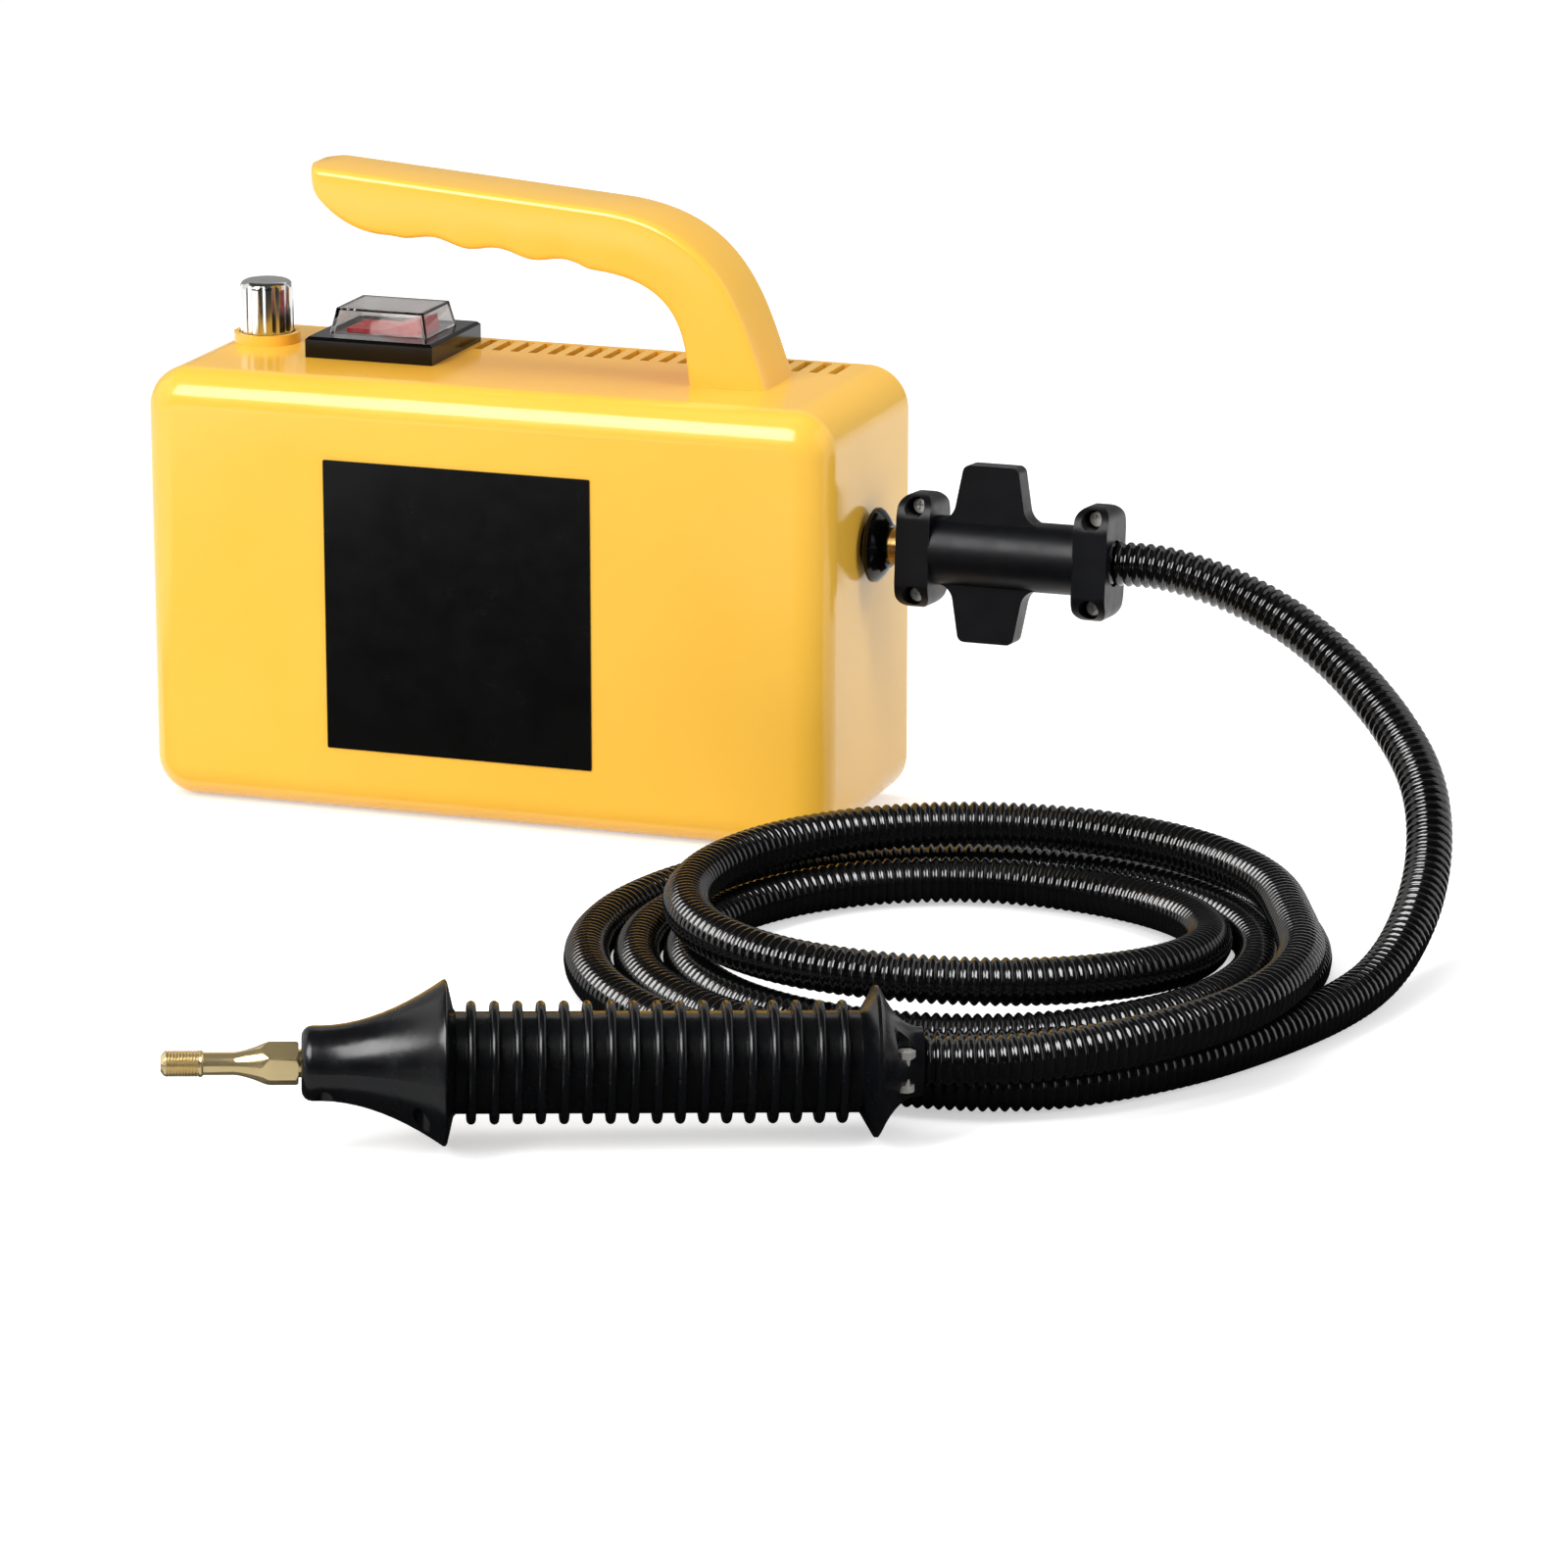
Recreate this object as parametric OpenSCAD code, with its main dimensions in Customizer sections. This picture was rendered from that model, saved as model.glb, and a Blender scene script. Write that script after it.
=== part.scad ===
// Portable steamer: a two-part moulded case with a boiler, a vibrating
// pump and a speed control inside, a bolted carrying handle, a screw
// coupling at the side, three metres of ribbed hose laid in a coil, and a
// ribbed wand with a brass nozzle.
//
// Frame: the origin lies at the middle of the case's underside, +X points to
// the outlet side, +Y to the back and +Z up. All sizes are in millimetres.

/* [Case] */
// Width of the case
case_w = 240; // [232:1:260]
// Depth of the case, front face to back
case_d = 86; // [84:1:96]
// Height of the case
case_h = 146.5; // [144:0.5:160]
// Wall thickness of both mouldings
wall = 2.5; // [2:0.1:3]
// Radius of the case's four long edges
corner_r = 14; // [13:0.5:16]
// Radius round the front face
front_r = 12; // [10:0.5:12.5]
// Number of vent slots in the top's rear edge
vent_count = 20; // [6:1:20]
// Distance from one vent slot to the next
vent_pitch = 6.6; // [5:0.1:6.6]
// Width of a vent slot
vent_w = 3; // [2:0.1:3.6]

/* [Front plate] */
// Width of the plate on the front face
label_w = 93.4; // [60:0.2:110]
// Height of the plate on the front face
label_h = 97.6; // [60:0.2:104]
// Thickness of the plate
label_t = 1; // [0.8:0.1:1.4]

/* [Handle] */
// Width of the grip, front to back
grip_w = 30; // [24:0.5:32]
// Edge radius of the grip
grip_r = 2.5; // [2:0.5:7]
// Distance between two finger hollows
finger_pitch = 23; // [20:0.5:26]
// Depth of a finger hollow
finger_depth = 1.9; // [0:0.1:3]

/* [Knob and switch] */
// Diameter of the knob
knob_d = 18; // [15:0.5:18]
// Height of the knob
knob_h = 20; // [17:0.5:24]
// Number of flutes round the knob
knob_flutes = 12; // [8:1:16]
// Width of the switch frame, left to right
bezel_w = 45.5; // [42:0.5:48]
// Depth of the switch frame, front to back
bezel_d = 44; // [40:0.5:46]
// Height of the switch frame above the case
bezel_h = 7; // [5:0.1:8]
// Tilt of the rocker to each side of level, in degrees
rocker_tilt = 8; // [5:1:9]

/* [Coupling] */
// Distance between the outer faces of the clamp blocks
clamp_span = 71.2; // [69:0.2:76]
// Diameter of the coupling's barrel
barrel_d = 22.8; // [22:0.2:25]
// Distance between the tips of the wings
wing_span = 58; // [50:1:66]
// Width of a wing at its tip
wing_w = 18.4; // [14:0.2:22]

/* [Hose] */
// Outside diameter of the ribbed hose, over its ribs
hose_d = 14.5; // [13.5:0.1:14.5]
// Diameter in the grooves between the ribs
groove_d = 12.6; // [12.4:0.1:12.8]
// Number of ribs on the hose in all
hose_ribs = 150; // [90:10:180]

/* [Wand] */
// Distance between the two rims of the wand
rim_span = 120.4; // [116:0.2:126]
// Diameter of the front rim
front_rim_d = 47.1; // [44:0.1:50]
// Diameter of the rear rim
rear_rim_d = 43.1; // [40:0.1:46]
// Diameter of the grip between its ribs
core_d = 29; // [27:0.5:31]
// Diameter of the grip over its ribs
grip_rib_d = 35; // [33:0.5:38]
// Number of ribs on the grip
grip_ribs = 17; // [8:1:17]
// Distance from one grip rib to the next
grip_pitch = 6.56; // [5.5:0.02:6.6]
// Diameter of the wand's nose
nose_d = 21.4; // [20.6:0.1:23]
// Length of the nose in front of the front rim
nose_l = 41.6; // [40:0.2:46]
// Length of the brass nozzle
nozzle_l = 39.5; // [34:0.5:50]
// Width across the flats of the nozzle's hexagon
nozzle_af = 11.2; // [10.5:0.1:12.5]
// Diameter of the nozzle's threaded tip
nozzle_tip_d = 7.7; // [7:0.1:8.4]
// Diameter of the steam way through the nozzle
nozzle_bore_d = 4; // [2:0.1:5]

/* [Boiler and pump] */
// Length of the cast boiler
boiler_l = 84; // [70:1:86]
// Depth of the cast boiler
boiler_d = 44; // [38:1:50]
// Height of the cast boiler
boiler_h = 32; // [28:1:36]
// Diameter of the pump's coil
coil_d = 36; // [32:0.5:37]
// Stroke of the pump's plunger
plunger_stroke = 4; // [2:0.5:6]

/* [Hidden] */
$fn = 48;

// Clearances: a running fit, a pass-through fit and a parting gap.
run_fit = 0.05;
loose_fit = 0.3;
cut = 0.5;

// Colours of the finishes
yellow = "#f2a900";
black = "#17181c";
dark = "#26272c";
brass = "#c9a24a";
steel = "#b9bcc0";
clear_grey = "#9aa0a8";

// Planes of the case
front_y = -case_d / 2;
back_y = case_d / 2;
cover_y = back_y - wall;
inner_x = case_w / 2 - wall;
inner_top = case_h - wall;

// Screws of the rear cover, one in each corner
cover_screw_x = case_w / 2 - 13;
cover_screw_z = [13, case_h - 13];
boss_r = 5;
boss_l = 20;
screw_r = 1.75;
head_r = 3.4;
head_t = 1.6;

// Vent slots
vent_x0 = -27.5;
vent_y0 = 24.5 - case_d / 2 + back_y;

// Front plate
label_x = -7.3;
label_z = case_h / 2 - 1.35;
label_sunk = 0.4;
label_r = 0.5;

// Handle: the foot stands on the case's top, the grip reaches to the left
handle_y = 5.2;
foot_inset = 58.8;
foot_l = 26.8;
foot_x0 = case_w / 2 - foot_inset;
foot_x1 = foot_x0 + foot_l;
handle_screw_x = foot_x0 + foot_l / 2;
handle_screw_dy = 7;
handle_screw_r = 2;
handle_screw_up = 18;

// Knob and its control
knob_inset = 22;
knob_x = knob_inset - case_w / 2;
knob_y = 14.5;
knob_gap = 1;
knob_bevel = 2.5;
ring_r = knob_d / 2 + 2.2;
ring_h = 3.5;
ring_gap = 0.5;
shaft_r = 3;
bush_r = 3.5;
bush_h = 7;
nut_af = 11;
nut_t = 2;
control_r = 8;
control_h = 8;
board_t = 1.6;

// Switch
switch_x = -0.218 * case_w;
switch_y = 15;
rocker_l = 25;
rocker_w = 17;
rocker_gap = 0.5;
rocker_end_gap = 1;
pivot_z = case_h + bezel_h - 2.1;
pivot_r = 1.5;
pivot_out = 2;
hood_l = 35;
hood_w = 27;
hood_h = 8.4;
hood_wall = 1;
hood_taper = 1.8;
body_l = 35.4;
body_w = 27.4;
body_h = 24;
blade_h = 10;
blade_dx = 10;
blade_dy = 7;
blade_w = 6.3;
blade_t = 0.8;

// Outlet and coupling
outlet_z = 96;
thread_r = 6;
fitting_bore_r = 2.5;
fitting_end = case_w / 2 + 22;
collar_r = 12.25;
collar_l = 8.6;
clamp_x0 = case_w / 2 + 13.2;
clamp_x1 = clamp_x0 + clamp_span;
clamp_l = 11.4;
clamp_d = barrel_d - 0.4;
clamp_h = 37.6;
clamp_r = 4.5;
clamp_round = 8.8;
clamp_turn = -5.4;
barrel_r = barrel_d / 2;
wing_x = (clamp_x0 + clamp_x1) / 2 - 6.1;
wing_t = 9;
wing_draft = 10;
wing_corner = 2.5;
wing_fillet = 6;
clamp_screw_dz = 14.5;
clamp_screw_l = 10;
clamp_head_y = -1.6;
union_x0 = clamp_x0 + 1.6;
union_l = 16;
union_af = 17;
stem_r = 4;
lip_x = union_x0 + union_l - 3;
washer_t = 1.2;
tail_flange_x = clamp_x1 - 26.4;
tail_flange_t = 2;
tail_flange_r = 7.1;
barb_l = 18;
barb_r = 4.8;
hose_x0 = tail_flange_x + tail_flange_t;
hose_seat_r = hose_d / 2 + 0.35;

// Wand: its axis lies in plan at an angle and droops to its smaller rim
wand_at = [112.8, -352, front_rim_d / 2 + 0.03];
wand_turn = 22.7;
wand_droop = asin((front_rim_d - rear_rim_d) / 2 / rim_span);
wand_dir = [
  cos(wand_turn) * cos(wand_droop),
  sin(wand_turn) * cos(wand_droop),
  -sin(wand_droop)
];
nose_r = nose_d / 2;
flare_l = 36;
flare_end = -1.8;
flare_power = 1.85;
core_r = core_d / 2;
grip_wall = 2.5;
first_rib = 6.1;
rib_half = 1.35;
tail_cone_l = 13.4;
cone_end_r = 9.8;
wand_end = rim_span + tail_cone_l;
wand_tube_r = 4;
wand_flange_u = wand_end - 17.8;
wand_flange_t = 2;
wand_hose_u = wand_flange_u + wand_flange_t;
tube_hex_u = -30;
tube_hex_l = 4;
tube_hex_af = 10;
nose_screw = [-35, 6.3, -3.2];
flare_screw = [-7.5, 15, -5];
rear_screw = [rim_span + 8, 9.8, -3.7];
wand_screw_r = 1.25;
wand_head_r = 2.5;
wand_head_t = 2;
wand_nut_z = 4.2;
wand_nut_t = 2;
wand_nut_af = 4.6;
nozzle_gap = 0.8;
nozzle_u = -nose_l - nozzle_gap;
tube_thread_u = nozzle_u - 5.6;

// Boiler, standing on a bracket
boiler_x0 = 20;
boiler_z0 = 30;
boiler_top = boiler_z0 + boiler_h;
boiler_way_z = boiler_z0 + 20;
steam_x = case_w / 2 - 32;
port_r = 7;
nipple_r = 2.95;
nipple_bore_r = 1.8;
boiler_nipple_l = 5;
pump_nipple_l = 5;
cap_nipple_l = 8;
sheet_t = 1.5;
post_top = 8.5;
post_r = 4.5;
bracket_screw_x = [26, 98];
bracket_screw_y = 14;
bracket_screw_r = 1.25;

// Pump, standing upright
pump_x = -24;
pump_post_x = [-37, -11];
pump_post_y = 27;
pump_z1 = inner_top - 32;
pump_z0 = pump_z1 - 68;
pump_tube_r = 7;
pump_bore_r = 5.5;
plunger_z0 = pump_z0 + 21;
plunger_l = 34 - plunger_stroke;
yoke_z0 = pump_z0 + 13;
yoke_w = 24;
yoke_h = 41;
yoke_t = 3;
spring_wire_r = 0.6;
spring_r = 4;
spring_turns = 7;

// Fittings in the rear cover
inlet_x = pump_x;
inlet_z = 14;
inlet_r = 4;
inlet_l = 22;
gland_x = 25 - case_w / 2;
gland_z = 22;
gland_r = 6;
gland_out = 15;
gland_bore_r = 3.5;
gland_in = 10;

// Soft tubes inside the case: outside and inside radius, bend radius
soft_ro = 4;
soft_ri = 3;
soft_bend = 10;
tube_gap = 0.5;
steam_ro = 5;
steam_bend = 8;
wire_r = 1.2;
wire_bend = 4;

// ---------------------------------------------------------------- helpers

// A bar of a regular hexagon along Z, given by its width across flats
module hex_bar(af, h) {
  cylinder(r = af / 2 / cos(30), h = h, $fn = 6);
}

// Turns a shape that stands along Z so that it lies along +X
module along_x() {
  rotate([0, 90, 0]) children();
}

// Turns a shape that stands along Z so that it lies along +Y
module along_y() {
  rotate([-90, 0, 0]) children();
}

// A pan-head screw: its head's underside lies at z = 0, its shank goes up
module screw(shank_r, shank_l, cap_r, cap_t) {
  cylinder(r = shank_r, h = shank_l);
  difference() {
    translate([0, 0, -cap_t]) cylinder(r = cap_r, h = cap_t);
    for (a = [0, 90])
      rotate(a) translate([-cap_r * 0.6, -0.3, -cap_t - cut]) cube([cap_r * 1.2, 0.6, cut + 0.8]);
  }
}

// Profile of a wall from the middle outwards, rounded at its front outer edge
module edge_profile(len, depth, r) {
  union() {
    translate([0, r]) square([len, depth - r]);
    square([len - r, depth]);
    intersection() {
      translate([len - r, r]) circle(r = r);
      square([len, depth]);
    }
  }
}

// A box with four rounded long edges and a rounded front: front at y = 0
module soft_box(w, h, d, rc, rf) {
  for (sx = [-1, 1], sz = [-1, 1])
    translate([sx * (w / 2 - rc), 0, sz * (h / 2 - rc)])
      rotate([-90, 0, 0])
        rotate([0, 0, sx > 0 ? (sz > 0 ? -90 : 0) : (sz > 0 ? 180 : 90)])
          rotate_extrude(angle = 90) edge_profile(rc, d, rf);
  for (sx = [-1, 1])
    translate([0, 0, -(h / 2 - rc)])
      mirror([sx < 0 ? 1 : 0, 0, 0])
        linear_extrude(h - 2 * rc) edge_profile(w / 2, d, rf);
  for (sz = [-1, 1])
    mirror([0, 0, sz < 0 ? 1 : 0])
      translate([-(w / 2 - rc), 0, 0])
        rotate([90, 0, 90])
          linear_extrude(w - 2 * rc) mirror([1, -1, 0]) edge_profile(h / 2, d, rf);
}

// A flat rounded rectangle in the XY plane, from exact arcs
module round_rect(w, h, r) {
  square([w - 2 * r, h], center = true);
  square([w, h - 2 * r], center = true);
  for (sx = [-1, 1], sy = [-1, 1])
    translate([sx * (w / 2 - r), sy * (h / 2 - r)]) circle(r = r);
}

function unit(v) = v / norm(v);

// A pipe along an axis-aligned route, with true round bends
module pipe(route, bend, ro, ri) {
  last = len(route) - 1;
  difference() {
    union() {
      pipe_pass(route, last, bend, ro, 0);
    }
    if (ri > 0) pipe_pass(route, last, bend, ri, cut);
  }
}

module pipe_pass(route, last, bend, r, over) {
  for (i = [0 : last - 1]) {
    a = unit(route[i + 1] - route[i]);
    from = route[i] + a * (i == 0 ? -over : bend);
    to = route[i + 1] - a * (i == last - 1 ? -over : bend);
    pipe_leg(from, to, r);
  }
  for (i = [1 : 1 : last - 1]) {
    a = unit(route[i] - route[i - 1]);
    b = unit(route[i + 1] - route[i]);
    centre = route[i] - a * bend + b * bend;
    z = cross(-b, a);
    multmatrix([
      [-b.x, a.x, z.x, centre.x],
      [-b.y, a.y, z.y, centre.y],
      [-b.z, a.z, z.z, centre.z],
      [0, 0, 0, 1]
    ])
      rotate_extrude(angle = 90) translate([bend, 0]) circle(r = r);
  }
}

// One straight leg of a pipe, along X, Y or Z
module pipe_leg(from, to, r) {
  d = to - from;
  a = unit(d);
  translate(from)
    rotate([a.y == 0 ? 0 : -90 * a.y, a.x == 0 ? (a.z < 0 ? 180 : 0) : 90 * a.x, 0])
      cylinder(r = r, h = norm(d));
}

// ------------------------------------------------------- swept tube forms

// A point on the smooth curve through b and c, with neighbours a and d
function spline_point(a, b, c, d, t) =
  0.5 * (2 * b + (c - a) * t + (2 * a - 5 * b + 4 * c - d) * t * t
    + (3 * b - a - 3 * c + d) * t * t * t);

// A smooth line through the route's points; its first and last stretch stay
// straight because their tangents are those of the stretch itself
function spline_route(p, steps) =
  let (n = len(p) - 1)
  [
    for (i = [0 : n - 1])
      let (
        a = i == 0 ? 2 * p[0] - p[1] : p[i - 1],
        d = i == n - 1 ? 2 * p[n] - p[n - 1] : p[i + 2]
      )
      for (k = [0 : steps - 1]) spline_point(a, p[i], p[i + 1], d, k / steps),
    p[n]
  ];

// Running length at each point of a line
function run_length(p) =
  [for (i = 0, s = 0; i < len(p); i = i + 1, s = s + (i < len(p) ? norm(p[i] - p[i - 1]) : 0)) s];

// The same line with its points spaced evenly
function even_line(p, count) =
  let (
    s = run_length(p),
    all = s[len(s) - 1],
    xs = [for (i = [0 : len(p) - 1]) [s[i], p[i].x]],
    ys = [for (i = [0 : len(p) - 1]) [s[i], p[i].y]],
    zs = [for (i = [0 : len(p) - 1]) [s[i], p[i].z]]
  )
  [
    for (k = [0 : count])
      let (w = all * k / count)
      [lookup(w, xs), lookup(w, ys), lookup(w, zs)]
  ];

function tangent(p, i) =
  unit(p[min(i + 1, len(p) - 1)] - p[max(i - 1, 0)]);

// One ring of a tube: corners round the line, square to it
function ring(p, i, r, sides) =
  let (
    t = tangent(p, i),
    s = unit(cross(t, [0, 0, 1])),
    u = cross(s, t)
  )
  [
    for (k = [0 : sides - 1])
      let (a = 360 * k / sides)
      p[i] + r * (cos(a) * s + sin(a) * u)
  ];

// Side faces between rings of a tube; flip turns them to face inwards
function skin(first, rings, sides, flip) =
  [
    for (i = [0 : rings - 2], k = [0 : sides - 1])
      let (
        a = first + i * sides + k,
        b = first + i * sides + (k + 1) % sides,
        c = a + sides,
        d = b + sides
      )
      each (flip ? [[a, b, d], [a, d, c]] : [[a, d, b], [a, c, d]])
  ];

// A ribbed hose with its bore: every second ring stands out as a rib
module ribbed_tube(path, path_len) {
  sides = hose_sides;
  rib_r = hose_d / 2;
  groove_r = groove_d / 2;
  bore_r = hose_bore_r;
  bore_rings = ceil(path_len / bore_step);
  rings = 2 * round(path_len / rib_pitch) + 1;
  outer = even_line(path, rings - 1);
  inner = even_line(path, bore_rings - 1);
  skin_points = [for (i = [0 : rings - 1]) each ring(outer, i, i % 2 == 0 ? groove_r : rib_r, sides)];
  bore_points = [for (i = [0 : bore_rings - 1]) each ring(inner, i, bore_r, sides)];
  b0 = rings * sides;
  e0 = (rings - 1) * sides;
  f0 = b0 + (bore_rings - 1) * sides;
  ends = [
    for (k = [0 : sides - 1])
      let (m = (k + 1) % sides)
      each [
        [k, m, b0 + m], [k, b0 + m, b0 + k],
        [e0 + k, f0 + m, e0 + m], [e0 + k, f0 + k, f0 + m]
      ]
  ];
  polyhedron(
    points = concat(skin_points, bore_points),
    faces = concat(skin(0, rings, sides, false), skin(b0, bore_rings, sides, true), ends)
  );
}

// A plain round wire along a line
module wire_tube(path, sides, r) {
  n = len(path);
  points = [for (i = [0 : n - 1]) each ring(path, i, r, sides)];
  caps = [
    for (k = [1 : sides - 2])
      each [[0, k, k + 1], [(n - 1) * sides, (n - 1) * sides + k + 1, (n - 1) * sides + k]]
  ];
  polyhedron(points = points, faces = concat(skin(0, n, sides, false), caps));
}

// ------------------------------------------------------------- hose route

// The coil: turns are counted from its outer end, clockwise from above
coil_centre = [200, -150];
coil_start = -112;
coil_turns = 3.636;
coil_r0 = 116.3;
coil_pitch = hose_d + 0.7;
coil_layer = hose_d + 0.6;
coil_turnback = 2.8;
coil_out_pitch = 30.4;
coil_round = 0.12;
coil_climb = [2.45, 2.97];
floor_z = hose_d / 2;

function ease(t) =
  let (c = max(0, min(1, t)))
  c * c * (3 - 2 * c);

// Distance from the coil's centre after n turns: in, then out again
function coil_radius(n) =
  let (
    w = coil_round,
    x = n - coil_turnback,
    rise = coil_pitch + coil_out_pitch
  )
  coil_r0 - coil_pitch * n
    + (x < -w ? 0 : x > w ? rise * x : rise * (x + w) * (x + w) / (4 * w));

function coil_height(n) =
  floor_z + coil_layer * ease((n - coil_climb[0]) / (coil_climb[1] - coil_climb[0]));

function coil_point(n) =
  let (a = coil_start - 360 * n)
  [
    coil_centre.x + coil_radius(n) * cos(a),
    coil_centre.y + coil_radius(n) * sin(a),
    coil_height(n)
  ];

coil_in_dir = unit(coil_point(0.002) - coil_point(0));
coil_out_dir = unit(coil_point(coil_turns) - coil_point(coil_turns - 0.002));
coil_in = coil_point(0) - hose_d * coil_in_dir;
coil_out = coil_point(coil_turns) + hose_d * coil_out_dir;
coil_path = concat(
  [coil_in],
  [for (k = [0 : 240]) coil_point(coil_turns * k / 240)],
  [coil_out]
);

// The lead leaves the coupling, arches down to the floor and runs to the coil
lead_route = concat(
  [[hose_x0, 0, outlet_z], [clamp_x1, 0, outlet_z], [clamp_x1 + hose_d, 0, outlet_z]],
  [
    [235, -0.5, 93], [251, -2, 88], [268, -8, 81.5], [285, -17, 72.5],
    [300, -29, 63.5], [311, -41, 56], [319, -53, 50], [325, -65, 42.5],
    [329, -78, 33.5], [331, -92, 25], [331.5, -108, 18], [330.5, -126, 12],
    [328, -145, 8.5], [323.5, -165, floor_z], [317.5, -186, floor_z],
    [308.5, -209, floor_z], [297, -231, floor_z], [281, -252.5, floor_z],
    [263, -268.5, floor_z], [240, -277, floor_z], [211, -278, floor_z]
  ],
  [coil_in - hose_d * coil_in_dir, coil_in]
);

// The end run leaves the coil's upper layer, crosses the lead and enters the
// wand along the wand's own axis
function wand_point(u) = wand_at + u * wand_dir;
end_route = concat(
  [coil_out, coil_out + hose_d * coil_out_dir],
  [
    [312, -167, 22.4], [314.5, -192, 22.4], [311.5, -218, 22.4],
    [303, -242, 22.3], [289, -264, 22], [273, -280.5, 21.5]
  ],
  [wand_point(wand_end + 20), wand_point(wand_end), wand_point(wand_hose_u)]
);

lead_path = spline_route(lead_route, 8);
end_path = spline_route(end_route, 8);
lead_len = run_length(lead_path)[len(lead_path) - 1];
coil_len = run_length(coil_path)[len(coil_path) - 1];
end_len = run_length(end_path)[len(end_path) - 1];
hose_len = lead_len + coil_len + end_len;
rib_pitch = hose_len / hose_ribs;
hose_sides = 8;
hose_bore_r = 5.55;
bore_step = 24;

// Least gap of the hose to itself, measured on points along all three nodes
gap_step = 9;
gap_line = even_line(concat(lead_path, coil_path, end_path), round(hose_len / gap_step));
gap_skip = ceil(3 * hose_d / gap_step);
hose_gap = min([
  for (i = [0 : len(gap_line) - 1])
    for (j = [i + gap_skip : 1 : len(gap_line) - 1]) norm(gap_line[i] - gap_line[j])
]) - hose_d;
echo(hose_length = hose_len, lead = lead_len, coil = coil_len, end_run = end_len, least_gap = hose_gap);  // hose_coil

// ---------------------------------------------------------------- the case

// The vent slots, cut through the top as far as the cover
module vent_slots() {
  for (i = [0 : vent_count - 1])
    translate([vent_x0 + i * vent_pitch, vent_y0, inner_top - cut])
      cube([vent_w, case_d, wall + 2 * cut]);
}

// Places its children at the four screws of the rear cover
module at_cover_screws() {
  for (sx = [-1, 1], z = cover_screw_z)
    translate([sx * cover_screw_x, 0, z]) children();
}

// Places its children at the posts on the case's floor
module at_floor_posts() {
  for (x = bracket_screw_x, sy = [-1, 1])
    translate([x, sy * bracket_screw_y, 0]) children();
  for (x = pump_post_x, sy = [-1, 1])
    translate([x, sy * pump_post_y, 0]) children();
}

module front_shell() {
  color(yellow)
    difference() {
      union() {
        difference() {
          translate([0, front_y, case_h / 2])
            soft_box(case_w, case_h, cover_y - front_y, corner_r, front_r);
          translate([0, front_y + wall, case_h / 2])
            soft_box(case_w - 2 * wall, case_h - 2 * wall, case_d, corner_r - wall, front_r - wall);
        }
        at_cover_screws()
          translate([0, cover_y - boss_l, 0]) along_y() cylinder(r = boss_r, h = boss_l);
        for (sx = [-1, 1], z = cover_screw_z)
          translate([sx * (cover_screw_x + inner_x + 1) / 2, cover_y - boss_l / 2, z])
            cube([inner_x + 1 - cover_screw_x, boss_l, 3], center = true);
        at_floor_posts() translate([0, 0, wall / 2]) cylinder(r = post_r, h = post_top - wall / 2);
        translate([knob_x, knob_y, inner_top]) cylinder(r = ring_r, h = wall + ring_h);
      }
      at_cover_screws()
        translate([0, cover_y - boss_l + 2, 0]) along_y() cylinder(r = screw_r + run_fit, h = boss_l);
      at_floor_posts() translate([0, 0, wall]) cylinder(r = bracket_screw_r + run_fit, h = post_top);
      translate([knob_x, knob_y, case_h]) cylinder(r = knob_d / 2 + ring_gap, h = ring_h + cut);
      translate([knob_x, knob_y, inner_top - cut]) cylinder(r = bush_r + run_fit, h = wall + 2 * cut);
      translate([switch_x - body_l / 2 - loose_fit, switch_y - body_w / 2 - loose_fit, inner_top - cut])
        cube([body_l + 2 * loose_fit, body_w + 2 * loose_fit, wall + 2 * cut]);
      for (sy = [-1, 1])
        translate([handle_screw_x, handle_y + sy * handle_screw_dy, inner_top - cut])
          cylinder(r = handle_screw_r + run_fit, h = wall + 2 * cut);
      translate([inner_x - cut, 0, outlet_z])
        along_x() cylinder(r = thread_r + run_fit, h = wall + 2 * cut);
      translate([label_x, front_y - cut, label_z])
        along_y() linear_extrude(cut + label_sunk) round_rect(label_w, label_h, label_r);
      vent_slots();
    }
}

// Outline of the case seen from behind, in the plane of its back
module case_outline() {
  translate([0, case_h / 2]) round_rect(case_w, case_h, corner_r);
}

module rear_cover() {
  tab = 70;
  color(yellow)
    difference() {
      union() {
        translate([0, back_y, 0]) rotate([90, 0, 0]) linear_extrude(wall) case_outline();
        for (sx = [-1, 1])
          translate([sx * (inner_x - run_fit - 1), cover_y - 1.5, case_h / 2])
            cube([2, 3 + cut, tab], center = true);
        translate([0, cover_y - 1.5, wall + run_fit + 1]) cube([tab / 2, 3 + cut, 2], center = true);
      }
      at_cover_screws() {
        translate([0, cover_y - cut, 0]) along_y() cylinder(r = screw_r + 0.2, h = wall + 2 * cut);
        translate([0, back_y - head_t, 0]) along_y() cylinder(r = head_r + 0.2, h = head_t + cut);
      }
      translate([inlet_x, cover_y - cut, inlet_z])
        along_y() cylinder(r = inlet_r + run_fit, h = wall + 2 * cut);
      translate([gland_x, cover_y - cut, gland_z])
        along_y() cylinder(r = gland_r + run_fit, h = wall + 2 * cut);
    }
}

module cover_screws() {
  color(steel)
    at_cover_screws()
      translate([0, back_y - head_t, 0])
        rotate([90, 0, 0]) screw(screw_r, boss_l - 2, head_r, head_t - 0.2);
}

module label_plate() {
  color(black)
    translate([label_x, front_y + label_sunk - label_t, label_z])
      along_y() linear_extrude(label_t) round_rect(label_w, label_h, label_r);
}

// -------------------------------------------------------------- the handle

// A cubic arc from a to d, leaving a along b and arriving at d from c
function arc_point(a, b, c, d, t) =
  let (s = 1 - t)
  s * s * s * a + 3 * s * s * t * b + 3 * s * t * t * c + t * t * t * d;

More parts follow.
